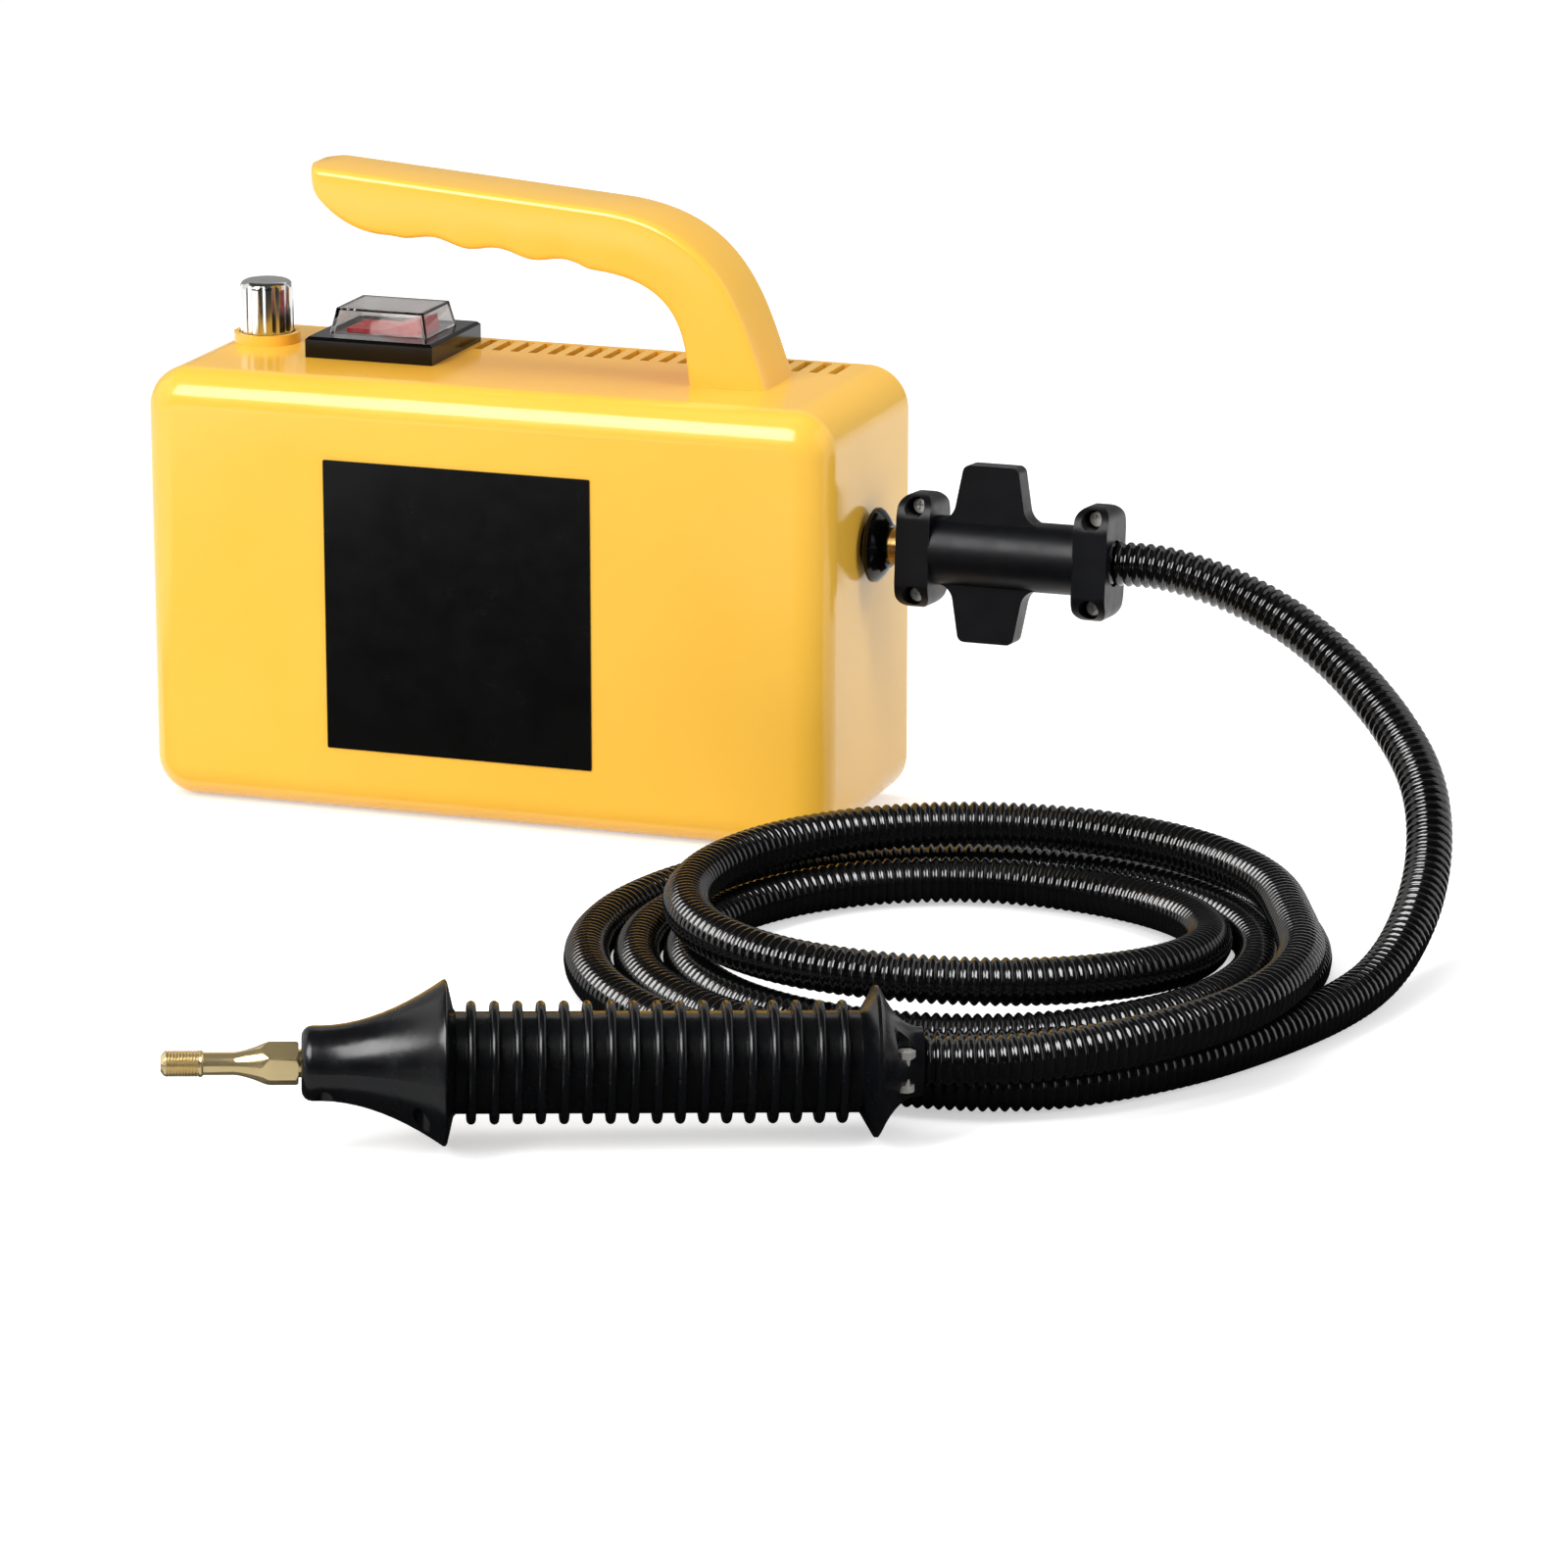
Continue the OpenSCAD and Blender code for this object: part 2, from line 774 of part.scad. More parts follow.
// Both edges of the side view share one parameter: 0 at the tip, 1 where the
// grip starts to bend, 2 at the foot
grip_l = 75;
bend_l = 31.2;
grip_x1 = foot_x0 - bend_l;
grip_x0 = grip_x1 - grip_l;
grip_top = [case_h + 62.45, case_h + 56.7];
grip_under = [case_h + 43.2, case_h + 35.85];
top_pull = [44, 25];
under_pull = [31, 12];
top_slope = unit([grip_x1 - grip_x0, grip_top[1] - grip_top[0]]);
under_slope = unit([grip_x1 - grip_x0, grip_under[1] - grip_under[0]]);
top_foot = [foot_x1, case_h];
under_foot = [foot_x0, case_h];

function finger_wave(x) = finger_depth / 2 * (1 + cos(360 * (x - foot_x0 + 66.2) / finger_pitch));

function top_line(x) =
  grip_top[0] + (grip_top[1] - grip_top[0]) * (x - grip_x0) / (grip_x1 - grip_x0);

function top_edge(t) =
  t <= 1
    ? let (x = grip_x0 + (grip_x1 - grip_x0) * t) [x, top_line(x)]
    : arc_point(
        [grip_x1, grip_top[1]],
        [grip_x1, grip_top[1]] + top_pull[0] * top_slope,
        top_foot + top_pull[1] * unit([-2.3, 6.2]),
        top_foot,
        t - 1
      );

function under_edge(t) =
  t <= 1
    ? let (
        x = grip_x0 + (grip_x1 - grip_x0) * t,
        wave = finger_wave(x) * ease(t / 0.12) * ease((1 - t) / 0.1)
      )
      [x, grip_under[0] + (grip_under[1] - grip_under[0]) * t + wave]
    : arc_point(
        [grip_x1, grip_under[1]],
        [grip_x1, grip_under[1]] + under_pull[0] * under_slope,
        under_foot + under_pull[1] * unit([-1.2, 9]),
        under_foot,
        t - 1
      );

// A rounded rectangle as a ring of points, w across and h high
function soft_rect(w, h, r) =
  [
    for (q = [0 : 3], k = [0 : 4])
      let (
        a = 90 * q + 22.5 * k,
        sx = (q == 0 || q == 3) ? 1 : -1,
        sy = q < 2 ? 1 : -1
      )
      [sx * (w / 2 - r) + r * cos(a), sy * (h / 2 - r) + r * sin(a)]
  ];

// One section of the handle: across it runs Y, up it runs from under to top
function handle_ring(under, top, w = grip_w) =
  let (
    mid = (under + top) / 2,
    up = unit(top - under),
    h = norm(top - under)
  )
  [
    for (p = soft_rect(w, h, min(grip_r, h / 2 - 0.3, w / 2 - 0.3)))
      [mid.x + p.y * up.x, handle_y + p.x, mid[1] + p.y * up[1]]
  ];

// The tip: seen from the side its underside rises in a long, slightly flattened
// quarter of an ellipse and its top turns down in a short one; seen from above
// its corners are round
tip_l = 29.2;
tip_rise = 64.5;
tip_round = 6;
tip_top_r = 0.8;
tip_power = 1.3;
tip_x = grip_x0 - tip_l;
tip_z = case_h + tip_rise;
tip_steps = 7;
grip_steps = 24;
bend_steps = 16;
function fall(x, reach) =
  let (t = max(0, tip_x + reach - x) / reach)
  sqrt(1 - t * t);
tip_rings = [
  for (i = [0 : tip_steps - 1])
    let (
      a = 10 + 80 * pow(i / tip_steps, 1.2),
      x = grip_x0 - tip_l * cos(a),
      under = tip_z + (under_edge(0)[1] - tip_z) * pow(sin(a), tip_power),
      top = top_line(x) - tip_top_r * (1 - fall(x, tip_top_r))
    )
    handle_ring([x, under], [x, top], grip_w * fall(x, tip_round))
];
handle_rings = concat(
  tip_rings,
  [for (i = [0 : grip_steps - 1]) handle_ring(under_edge(i / grip_steps), top_edge(i / grip_steps))],
  [for (i = [0 : bend_steps]) handle_ring(under_edge(1 + i / bend_steps), top_edge(1 + i / bend_steps))]
);

module handle() {
  sides = 20;
  n = len(handle_rings);
  points = [for (r = handle_rings) each r];
  caps = [
    for (k = [1 : sides - 2])
      each [[0, k, k + 1], [(n - 1) * sides, (n - 1) * sides + k + 1, (n - 1) * sides + k]]
  ];
  color(yellow)
    difference() {
      polyhedron(points = points, faces = concat(skin(0, n, sides, false), caps));
      for (sy = [-1, 1])
        translate([handle_screw_x, handle_y + sy * handle_screw_dy, case_h - cut])
          cylinder(r = handle_screw_r + run_fit, h = handle_screw_up + cut);
    }
}

module handle_screws() {
  color(steel)
    for (sy = [-1, 1])
      translate([handle_screw_x, handle_y + sy * handle_screw_dy, inner_top])
        screw(handle_screw_r, wall + handle_screw_up - 1, 4, 3);
}

// -------------------------------------------------------------- the switch

module switch_frame() {
  bevel = 1;
  opening_l = rocker_l + 2 * rocker_end_gap;
  opening_w = rocker_w + 2 * rocker_gap;
  color(black)
    translate([switch_x, switch_y, case_h])
      difference() {
        intersection() {
          translate([0, 0, bezel_h / 2]) cube([bezel_w, bezel_d, bezel_h], center = true);
          rotate([90, 0, 0])
            linear_extrude(bezel_d, center = true)
              polygon([
                [-bezel_w / 2, 0], [bezel_w / 2, 0], [bezel_w / 2, bezel_h - bevel],
                [bezel_w / 2 - bevel, bezel_h], [-bezel_w / 2 + bevel, bezel_h],
                [-bezel_w / 2, bezel_h - bevel]
              ]);
          rotate([90, 0, 90])
            linear_extrude(bezel_w, center = true)
              polygon([
                [-bezel_d / 2, 0], [bezel_d / 2, 0], [bezel_d / 2, bezel_h - bevel],
                [bezel_d / 2 - bevel, bezel_h], [-bezel_d / 2 + bevel, bezel_h],
                [-bezel_d / 2, bezel_h - bevel]
              ]);
        }
        translate([0, 0, bezel_h / 2])
          cube([opening_l, opening_w, bezel_h + 2 * cut], center = true);
        translate([0, -opening_w / 2 - pivot_out, pivot_z - case_h])
          along_y() cylinder(r = pivot_r + run_fit, h = opening_w + 2 * pivot_out);
      }
}

module switch_body() {
  pocket_l = rocker_l + 2 * rocker_end_gap;
  pocket_w = rocker_w + 2 * rocker_gap;
  color(dark)
    translate([switch_x, switch_y, case_h - body_h])
      difference() {
        translate([-body_l / 2, -body_w / 2, 0]) cube([body_l, body_w, body_h]);
        translate([-pocket_l / 2, -pocket_w / 2, body_h - 10]) cube([pocket_l, pocket_w, 10 + cut]);
      }
}

module switch_terminals() {
  color(brass)
    for (sx = [-1, 1], sy = [-1, 1])
      translate([
        switch_x + sx * blade_dx - blade_w / 2, switch_y + sy * blade_dy - blade_t / 2,
        case_h - body_h - blade_h
      ])
        cube([blade_w, blade_t, blade_h]);
}

// The rocker, drawn level and then tilted to its rest: left side pressed
module switch_rocker() {
  half = rocker_l / 2;
  low = 3.2;
  rise = half * tan(rocker_tilt);
  skirt = 2.6;
  leg = 1.6;
  leg_l = 8;
  color("#d4141c")
    translate([switch_x, switch_y, pivot_z])
      rotate([0, -rocker_tilt, 0]) {
        rotate([90, 0, 0])
          linear_extrude(rocker_w, center = true)
            polygon([
              [-half, -skirt], [-leg, -skirt], [-leg, -leg_l], [leg, -leg_l], [leg, -skirt],
              [half, -skirt], [half, low + rise], [0, low], [-half, low + rise]
            ]);
        translate([0, -rocker_w / 2 - pivot_out, 0])
          along_y() cylinder(r = pivot_r, h = rocker_w + 2 * pivot_out);
      }
}

module switch_hood() {
  inside_l = hood_l - 2 * hood_wall;
  inside_w = hood_w - 2 * hood_wall;
  color(clear_grey, 0.4)
    translate([switch_x, switch_y, case_h + bezel_h])
      difference() {
        hood_block(hood_l, hood_w, hood_h);
        translate([0, 0, -cut]) hood_block(inside_l, inside_w, hood_h - hood_wall + cut);
      }
}

// A block whose four sides lean in to the top
module hood_block(l, w, h) {
  intersection() {
    rotate([90, 0, 0])
      linear_extrude(w, center = true)
        polygon([[-l / 2, 0], [l / 2, 0], [l / 2 - hood_taper, h], [-l / 2 + hood_taper, h]]);
    rotate([90, 0, 90])
      linear_extrude(l, center = true)
        polygon([[-w / 2, 0], [w / 2, 0], [w / 2 - hood_taper, h], [-w / 2 + hood_taper, h]]);
  }
}

// ------------------------------------------------------- knob and control

module control_knob() {
  r = knob_d / 2;
  flute_r = 2.2;
  flute_depth = 0.5;
  flute_turn = 12.6;
  dome_steps = 5;
  color("#d8dadd")
    translate([knob_x, knob_y, case_h + knob_gap])
      difference() {
        rotate_extrude()
          polygon(concat(
            [[0, 0], [r, 0]],
            [
              for (k = [0 : dome_steps])
                let (a = 90 * k / dome_steps)
                [r - knob_bevel * (1 - cos(a)), knob_h - knob_bevel * (1 - sin(a))]
            ],
            [[0, knob_h]]
          ));
        for (i = [0 : knob_flutes - 1])
          rotate(flute_turn + 360 * i / knob_flutes)
            translate([r + flute_r - flute_depth, 0, 1]) cylinder(r = flute_r, h = knob_h, $fn = 32);
        translate([0, 0, -cut]) cylinder(r = r - 1.6, h = bush_h - wall - knob_gap + 1 + cut);
        translate([0, 0, -cut]) cylinder(r = shaft_r + 0.02, h = knob_h - 3 + cut);
      }
}

module control_shaft() {
  color(steel)
    translate([knob_x, knob_y, 0]) {
      translate([0, 0, inner_top - 6]) cylinder(r = shaft_r, h = wall + knob_gap + knob_h - 4 + 6);
      translate([0, 0, inner_top - 5]) cylinder(r = control_r - 2.5, h = 1.5);
    }
}

module control_body() {
  color(steel)
    translate([knob_x, knob_y, inner_top])
      difference() {
        union() {
          translate([0, 0, -control_h]) cylinder(r = control_r, h = control_h);
          cylinder(r = bush_r, h = bush_h);
        }
        translate([0, 0, -control_h + 1.5]) cylinder(r = control_r - 2, h = control_h - 3);
        cylinder_through(shaft_r + run_fit, -2, bush_h + cut);
      }
}

// A plain hole from one height to another
module cylinder_through(r, z0, z1) {
  translate([0, 0, z0]) cylinder(r = r, h = z1 - z0);
}

module control_nut() {
  color(steel)
    translate([knob_x, knob_y, case_h])
      difference() {
        hex_bar(nut_af, nut_t);
        cylinder_through(bush_r + run_fit, -cut, nut_t + cut);
      }
}

board_w = 38;
board_d = 39;
board_x = knob_x - 18;
board_y = cover_y - boss_l - board_d - 1;
board_z = inner_top - control_h - board_t;

module control_board() {
  color("#1f6b3a")
    translate([board_x, board_y, board_z]) cube([board_w, board_d, board_t]);
}

module board_parts() {
  color(dark) {
    translate([knob_x - 12, board_y + 22, board_z - 9]) cube([18, 6, 9]);
    translate([knob_x - 10, board_y + 8, board_z - 14]) cylinder(r = 5, h = 14);
    translate([knob_x + 6, board_y + 3, board_z - 12]) cube([8, 9, 12]);
    translate([knob_x + 8, board_y + 18, board_z - 10]) cube([10, 8, 10]);
  }
}

// ------------------------------------------------------ boiler and bracket

module boiler() {
  nipple_x = boiler_x0 - 6 - boiler_nipple_l;
  color("#a9adb1")
    difference() {
      union() {
        translate([boiler_x0, -boiler_d / 2, boiler_z0]) cube([boiler_l, boiler_d, boiler_h]);
        for (i = [0 : 6])
          translate([boiler_x0 + 6 + i * 8, -boiler_d / 2 - 3, boiler_z0 + 4])
            cube([3, 4, boiler_h - 8]);
        translate([steam_x, 0, boiler_top - cut]) cylinder(r = port_r, h = 8 + cut);
        translate([steam_x, 0, boiler_top + 8 - cut]) cylinder(r = nipple_r, h = 11 + cut);
        translate([boiler_x0 - 6, 0, boiler_way_z]) along_x() cylinder(r = port_r, h = 6 + cut);
        translate([nipple_x, 0, boiler_way_z]) along_x() cylinder(r = nipple_r, h = boiler_nipple_l + cut);
      }
      translate([nipple_x - cut, 0, boiler_way_z])
        along_x() cylinder(r = nipple_bore_r, h = steam_x - nipple_x + cut);
      translate([steam_x, 0, boiler_way_z]) cylinder(r = nipple_bore_r, h = boiler_h + 20);
    }
}

module heater_terminals() {
  color("#e8e4da")
    for (sy = [-1, 1])
      translate([boiler_x0 - 6, sy * 14, boiler_z0 + 12])
        along_x() {
          cylinder(r = 4, h = 6);
          translate([0, 0, -8]) cylinder(r = 2, h = 8 + cut);
        }
}

module thermostat() {
  color("#c9c2b0")
    translate([54, 0, boiler_top]) {
      cylinder(r = 8, h = 7);
      translate([-12, -3, 0]) cube([24, 6, 1]);
      for (sx = [-1, 1])
        translate([sx * 4 - 0.4, -3, 7 - cut]) cube([0.8, 6, 7 + cut]);
    }
}

module thermal_fuse() {
  color("#d7d3c8")
    translate([26, 12, boiler_top]) {
      translate([0, 0, 3]) along_x() cylinder(r = 3, h = 16);
      translate([4, -4, 0]) difference() {
        cube([6, 8, 7]);
        translate([-cut, 1, -cut]) cube([6 + 2 * cut, 6, 6 + cut]);
      }
    }
}

module boiler_bracket() {
  span_x = bracket_screw_x[1] - bracket_screw_x[0] - 8;
  leg_x0 = bracket_screw_x[0] + 4;
  half = bracket_screw_y + 5;
  color(steel)
    difference() {
      union() {
        translate([leg_x0, -half, boiler_z0 - sheet_t]) cube([span_x, 2 * half, sheet_t]);
        for (x = [leg_x0, leg_x0 + span_x - sheet_t])
          translate([x, -half, post_top]) cube([sheet_t, 2 * half, boiler_z0 - post_top]);
        for (x = bracket_screw_x)
          translate([x < 60 ? x - 5 : x - 4, -half, post_top]) cube([9 + cut, 2 * half, sheet_t]);
      }
      for (x = bracket_screw_x, sy = [-1, 1])
        translate([x, sy * bracket_screw_y, post_top - cut]) cylinder(r = 1.5, h = sheet_t + 2 * cut);
    }
}

// Screws that hold both brackets on the floor posts
module bracket_screws() {
  color(steel)
    at_floor_posts()
      translate([0, 0, post_top + sheet_t])
        rotate([180, 0, 0]) screw(bracket_screw_r, post_top + sheet_t - wall - 0.5, 2.6, 1.8);
}

// ---------------------------------------------------------------- the pump

module pump_body() {
  color("#d9d4c6")
    translate([pump_x, 0, 0])
      difference() {
        union() {
          cylinder_through(pump_tube_r, pump_z0, pump_z1);
          cylinder_through(nipple_r, pump_z0 - pump_nipple_l, pump_z0 + cut);
        }
        cylinder_through(pump_bore_r, plunger_z0 - 0.2, pump_z1 + cut);
        cylinder_through(nipple_bore_r, pump_z0 - pump_nipple_l - cut, plunger_z0);
      }
}

module pump_cap() {
  color("#d9d4c6")
    translate([pump_x, 0, 0])
      difference() {
        union() {
          cylinder_through(9, pump_z1 - 8, pump_z1 + 5);
          cylinder_through(nipple_r, pump_z1 + 5 - cut, pump_z1 + 5 + cap_nipple_l);
        }
        cylinder_through(pump_tube_r + run_fit, pump_z1 - 8 - cut, pump_z1);
        cylinder_through(nipple_bore_r, pump_z1 - cut, pump_z1 + 5 + cap_nipple_l + cut);
      }
}

module pump_coil() {
  color("#7a3b1d")
    translate([pump_x, 0, 0])
      difference() {
        cylinder_through(coil_d / 2, yoke_z0 + yoke_t, yoke_z0 + yoke_h - yoke_t);
        cylinder_through(pump_tube_r + run_fit, yoke_z0, yoke_z0 + yoke_h);
      }
}

module pump_yoke() {
  w = coil_d + 1;
  color(steel)
    translate([pump_x, 0, yoke_z0])
      difference() {
        translate([-yoke_w / 2, -w / 2 - yoke_t, 0]) cube([yoke_w, w + 2 * yoke_t, yoke_h]);
        translate([-yoke_w / 2 - cut, -w / 2, yoke_t])
          cube([yoke_w + 2 * cut, w, yoke_h - 2 * yoke_t]);
        cylinder_through(pump_tube_r + run_fit, -cut, yoke_h + cut);
      }
}

module pump_bracket() {
  w = coil_d / 2 + 0.5 + yoke_t;
  reach = pump_post_y + 5;
  half = (pump_post_x[1] - pump_post_x[0]) / 2;
  color(steel)
    translate([pump_x, 0, 0])
      difference() {
        union() {
          translate([-yoke_w / 2, -w, yoke_z0 - sheet_t]) cube([yoke_w, 2 * w, sheet_t]);
          for (sy = [-1, 1])
            translate([-yoke_w / 2, sy * w - (sy > 0 ? sheet_t : 0), post_top])
              cube([yoke_w, sheet_t, yoke_z0 - post_top]);
          for (sy = [-1, 1])
            translate([-half - 4, sy > 0 ? w - sheet_t : -reach, post_top])
              cube([2 * half + 8, reach - w + sheet_t, sheet_t]);
        }
        for (sx = [-1, 1], sy = [-1, 1])
          translate([sx * half, sy * pump_post_y, post_top - cut]) cylinder(r = 1.5, h = sheet_t + 2 * cut);
        cylinder_through(pump_tube_r + loose_fit, yoke_z0 - sheet_t - cut, yoke_z0 + cut);
        translate([0, w - sheet_t - cut, inlet_z])
          along_y() cylinder(r = soft_ro + tube_gap, h = reach - w + sheet_t + 2 * cut);
      }
}

module pump_plunger() {
  color(steel)
    translate([pump_x, 0, 0])
      difference() {
        cylinder_through(pump_bore_r - run_fit, plunger_z0, plunger_z0 + plunger_l);
        cylinder_through(1.5, plunger_z0 - cut, plunger_z0 + plunger_l + cut);
      }
}

module pump_spring() {
  z0 = plunger_z0 + plunger_l + 0.1 + spring_wire_r;
  z1 = pump_z1 - 0.1 - spring_wire_r;
  steps = 8 * spring_turns;
  color(steel)
    translate([pump_x, 0, 0])
      wire_tube(
        [
          for (k = [0 : steps])
            [spring_r * cos(45 * k), spring_r * sin(45 * k), z0 + (z1 - z0) * k / steps]
        ],
        6, spring_wire_r
      );
}

// --------------------------------------------- fittings in the rear cover

module water_inlet() {
  color(brass)
    translate([inlet_x, 0, inlet_z])
      difference() {
        union() {
          translate([0, back_y, 0]) along_y() hex_bar(12, 4);
          translate([0, cover_y - 6, 0]) along_y() cylinder(r = inlet_r, h = wall + 6 + cut);
          translate([0, cover_y - 14, 0]) along_y() cylinder(r = nipple_r, h = 8 + cut);
          translate([0, back_y + 4 - cut, 0]) along_y() cylinder(r = inlet_r, h = inlet_l - 4 + cut);
        }
        translate([0, cover_y - 14 - cut, 0])
          along_y() cylinder(r = nipple_bore_r, h = inlet_l + wall + 14 + 2 * cut);
      }
}

module inlet_nut() {
  color(brass)
    translate([inlet_x, cover_y - 4, inlet_z])
      along_y() difference() {
        hex_bar(12, 4);
        cylinder_through(inlet_r + run_fit, -cut, 4 + cut);
      }
}

module cable_gland() {
  color(black)
    translate([gland_x, 0, gland_z])
      difference() {
        union() {
          translate([0, back_y, 0]) along_y() cylinder(r = 9, h = 3);
          translate([0, back_y + 3 - cut, 0])
            along_y() rotate_extrude()
              polygon([[0, 0], [8, 0], [8, 7], [5.5, gland_out - 3 + cut], [0, gland_out - 3 + cut]]);
          translate([0, cover_y - gland_in, 0])
            along_y() cylinder(r = gland_r, h = wall + gland_in + cut);
        }
        translate([0, cover_y - gland_in - cut, 0])
          along_y() cylinder(r = gland_bore_r, h = case_d);
      }
}

module gland_nut() {
  color(black)
    translate([gland_x, cover_y - 4, gland_z])
      along_y() difference() {
        hex_bar(17, 4);
        cylinder_through(gland_r + run_fit, -cut, 4 + cut);
      }
}

// ------------------------------------------------------ tubes and wires

module suction_tube() {
  color("#e6e6e2")
    pipe(
      [[pump_x, 0, pump_z0 - 1], [pump_x, 0, inlet_z], [pump_x, cover_y - 7, inlet_z]],
      soft_bend, soft_ro, soft_ri
    );
}

module feed_tube() {
  top = pump_z1 + 5 + cap_nipple_l + soft_bend;
  color("#e6e6e2")
    pipe(
      [
        [pump_x, 0, pump_z1 + 6], [pump_x, 0, top], [pump_x + 24, 0, top],
        [pump_x + 24, 0, boiler_way_z], [boiler_x0 - 6.5, 0, boiler_way_z]
      ],
      soft_bend - 1.5, soft_ro, soft_ri
    );
}

module steam_tube() {
  color("#c8c8c4")
    pipe(
      [
        [steam_x, 0, boiler_top + 8.5], [steam_x, 0, outlet_z],
        [inner_x - 8, 0, outlet_z]
      ],
      steam_bend, steam_ro, soft_ri
    );
}

module wiring() {
  blade_z = case_h - body_h - blade_h;
  near = switch_y - blade_dy;
  far = switch_y + blade_dy;
  left = switch_x - blade_dx;
  right = switch_x + blade_dx;
  pin_z = boiler_z0 + 12;
  pin_x = boiler_x0 - 14;
  start_y = cover_y - gland_in;
  turn_z = blade_z - 8;
  color("#30343c") {
    pipe([[gland_x - 3, start_y, gland_z], [gland_x - 3, near, gland_z], [gland_x - 3, near, 60],
      [left, near, 60], [left, near, blade_z]], wire_bend, wire_r, 0);
    pipe([[gland_x + 3, start_y, gland_z], [gland_x + 3, far, gland_z], [gland_x + 3, far, 70],
      [left, far, 70], [left, far, blade_z]], wire_bend, wire_r, 0);
    pipe([[right, far, blade_z], [right, far, turn_z], [right, 32, turn_z],
      [-2, 32, turn_z], [-2, 32, pin_z], [-2, 14, pin_z], [pin_x, 14, pin_z]],
      wire_bend, wire_r, 0);
    pipe([[right, near, blade_z], [right, near, turn_z], [right, -32, turn_z],
      [-2, -32, turn_z], [-2, -32, pin_z], [-2, -14, pin_z], [pin_x, -14, pin_z]],
      wire_bend, wire_r, 0);
  }
}

// ------------------------------------------------- outlet and screw coupling

// A revolved piece along +X on the outlet's axis: points are [x, radius]
module outlet_turned(profile) {
  translate([0, 0, outlet_z])
    rotate([0, 90, 0]) rotate_extrude() polygon([for (p = profile) [p.y, p.x]]);
}

module outlet_hole(r, x0, x1) {
  translate([x0, 0, outlet_z]) along_x() cylinder(r = r, h = x1 - x0);
}

module outlet_fitting() {
  color(brass)
    difference() {
      union() {
        translate([inner_x - 7, 0, outlet_z]) along_x() hex_bar(16, 7);
        outlet_hole(thread_r, inner_x - cut, fitting_end);
        outlet_hole(nipple_r, inner_x - 18, inner_x - 7 + cut);
      }
      outlet_hole(fitting_bore_r, inner_x - 3, fitting_end + cut);
      outlet_hole(nipple_bore_r, inner_x - 18 - cut, inner_x);
    }
}

module outlet_collar() {
  x0 = case_w / 2;
  x1 = x0 + collar_l;
  r = collar_r;
  neck_r = thread_r + 1.4;
  color(black)
    difference() {
      outlet_turned([
        [x0, 0], [x0, neck_r], [x0 + 1.4, neck_r], [x0 + 2, r - 0.9], [x0 + 2.6, r],
        [x0 + 3.8, r], [x0 + 4.9, r - 0.7], [x0 + 6.6, r - 2.6], [x0 + 8, neck_r],
        [x1, neck_r - 0.4], [x1, 0]
      ]);
      outlet_hole(thread_r + run_fit, x0 - cut, x1 + cut);
    }
}

module seal_washer() {
  color("#5a1f16")
    difference() {
      outlet_hole(thread_r - 0.3, fitting_end, fitting_end + washer_t);
      outlet_hole(fitting_bore_r + 0.5, fitting_end - cut, fitting_end + washer_t + cut);
    }
}

module union_nut() {
  color(brass)
    tightened() difference() {
      translate([union_x0, 0, outlet_z]) along_x() hex_bar(union_af, union_l);
      outlet_hole(thread_r + run_fit, union_x0 - cut, lip_x);
      outlet_hole(stem_r + 0.2, lip_x - cut, union_x0 + union_l + cut);
    }
}

module hose_tail() {
  collar_x = fitting_end + washer_t;
  color(brass)
    difference() {
      union() {
        outlet_hole(thread_r - 0.3, collar_x, lip_x - 0.2);
        outlet_hole(stem_r, collar_x, tail_flange_x + cut);
        outlet_hole(tail_flange_r, tail_flange_x, hose_x0);
        outlet_hole(barb_r, hose_x0 - cut, hose_x0 + barb_l);
      }
      outlet_hole(fitting_bore_r, collar_x - cut, hose_x0 + barb_l + cut);
    }
}

// Side view of the wings, one up and one down: their sides lean out to the
// root and run into the barrel in a round
module wing_outline() {
  top = wing_span / 2;
  tip = wing_w / 2;
  root = barrel_r - 1;
  lean = tan(wing_draft);
  side = [cos(wing_draft), sin(wing_draft)];
  corner = [tip + wing_corner * (lean - 1 / side.x), top - wing_corner];
  edge = corner + wing_corner * side;
  foot_z = root + wing_fillet;
  foot = [tip + (top - foot_z) * lean + wing_fillet / side.x, foot_z];
  touch = foot - wing_fillet * side;
  for (s = [-1, 1], t = [-1, 1])
    mirror([0, s < 0 ? 1 : 0]) mirror([t < 0 ? 1 : 0, 0]) {
      polygon([[0, 0], [tip + top * lean, 0], edge, [corner.x, top], [0, top]]);
      translate(corner) circle(r = wing_corner);
      difference() {
        polygon([[0, root - 1], [foot.x, root - 1], foot, touch, [0, touch[1]]]);
        translate(foot) circle(r = wing_fillet);
      }
    }
}

// One clamp block, rounded towards its ends
module clamp_block() {
  intersection() {
    rotate([90, 0, 0]) linear_extrude(clamp_d, center = true) round_rect(clamp_l, clamp_h, clamp_r);
    rotate([90, 0, 90])
      linear_extrude(clamp_l, center = true) round_rect(clamp_d, clamp_h, clamp_round);
  }
}

// The coupling as it stands when it is screwed tight: a little past upright
module tightened() {
  translate([0, 0, outlet_z]) rotate([clamp_turn, 0, 0]) translate([0, 0, -outlet_z]) children();
}

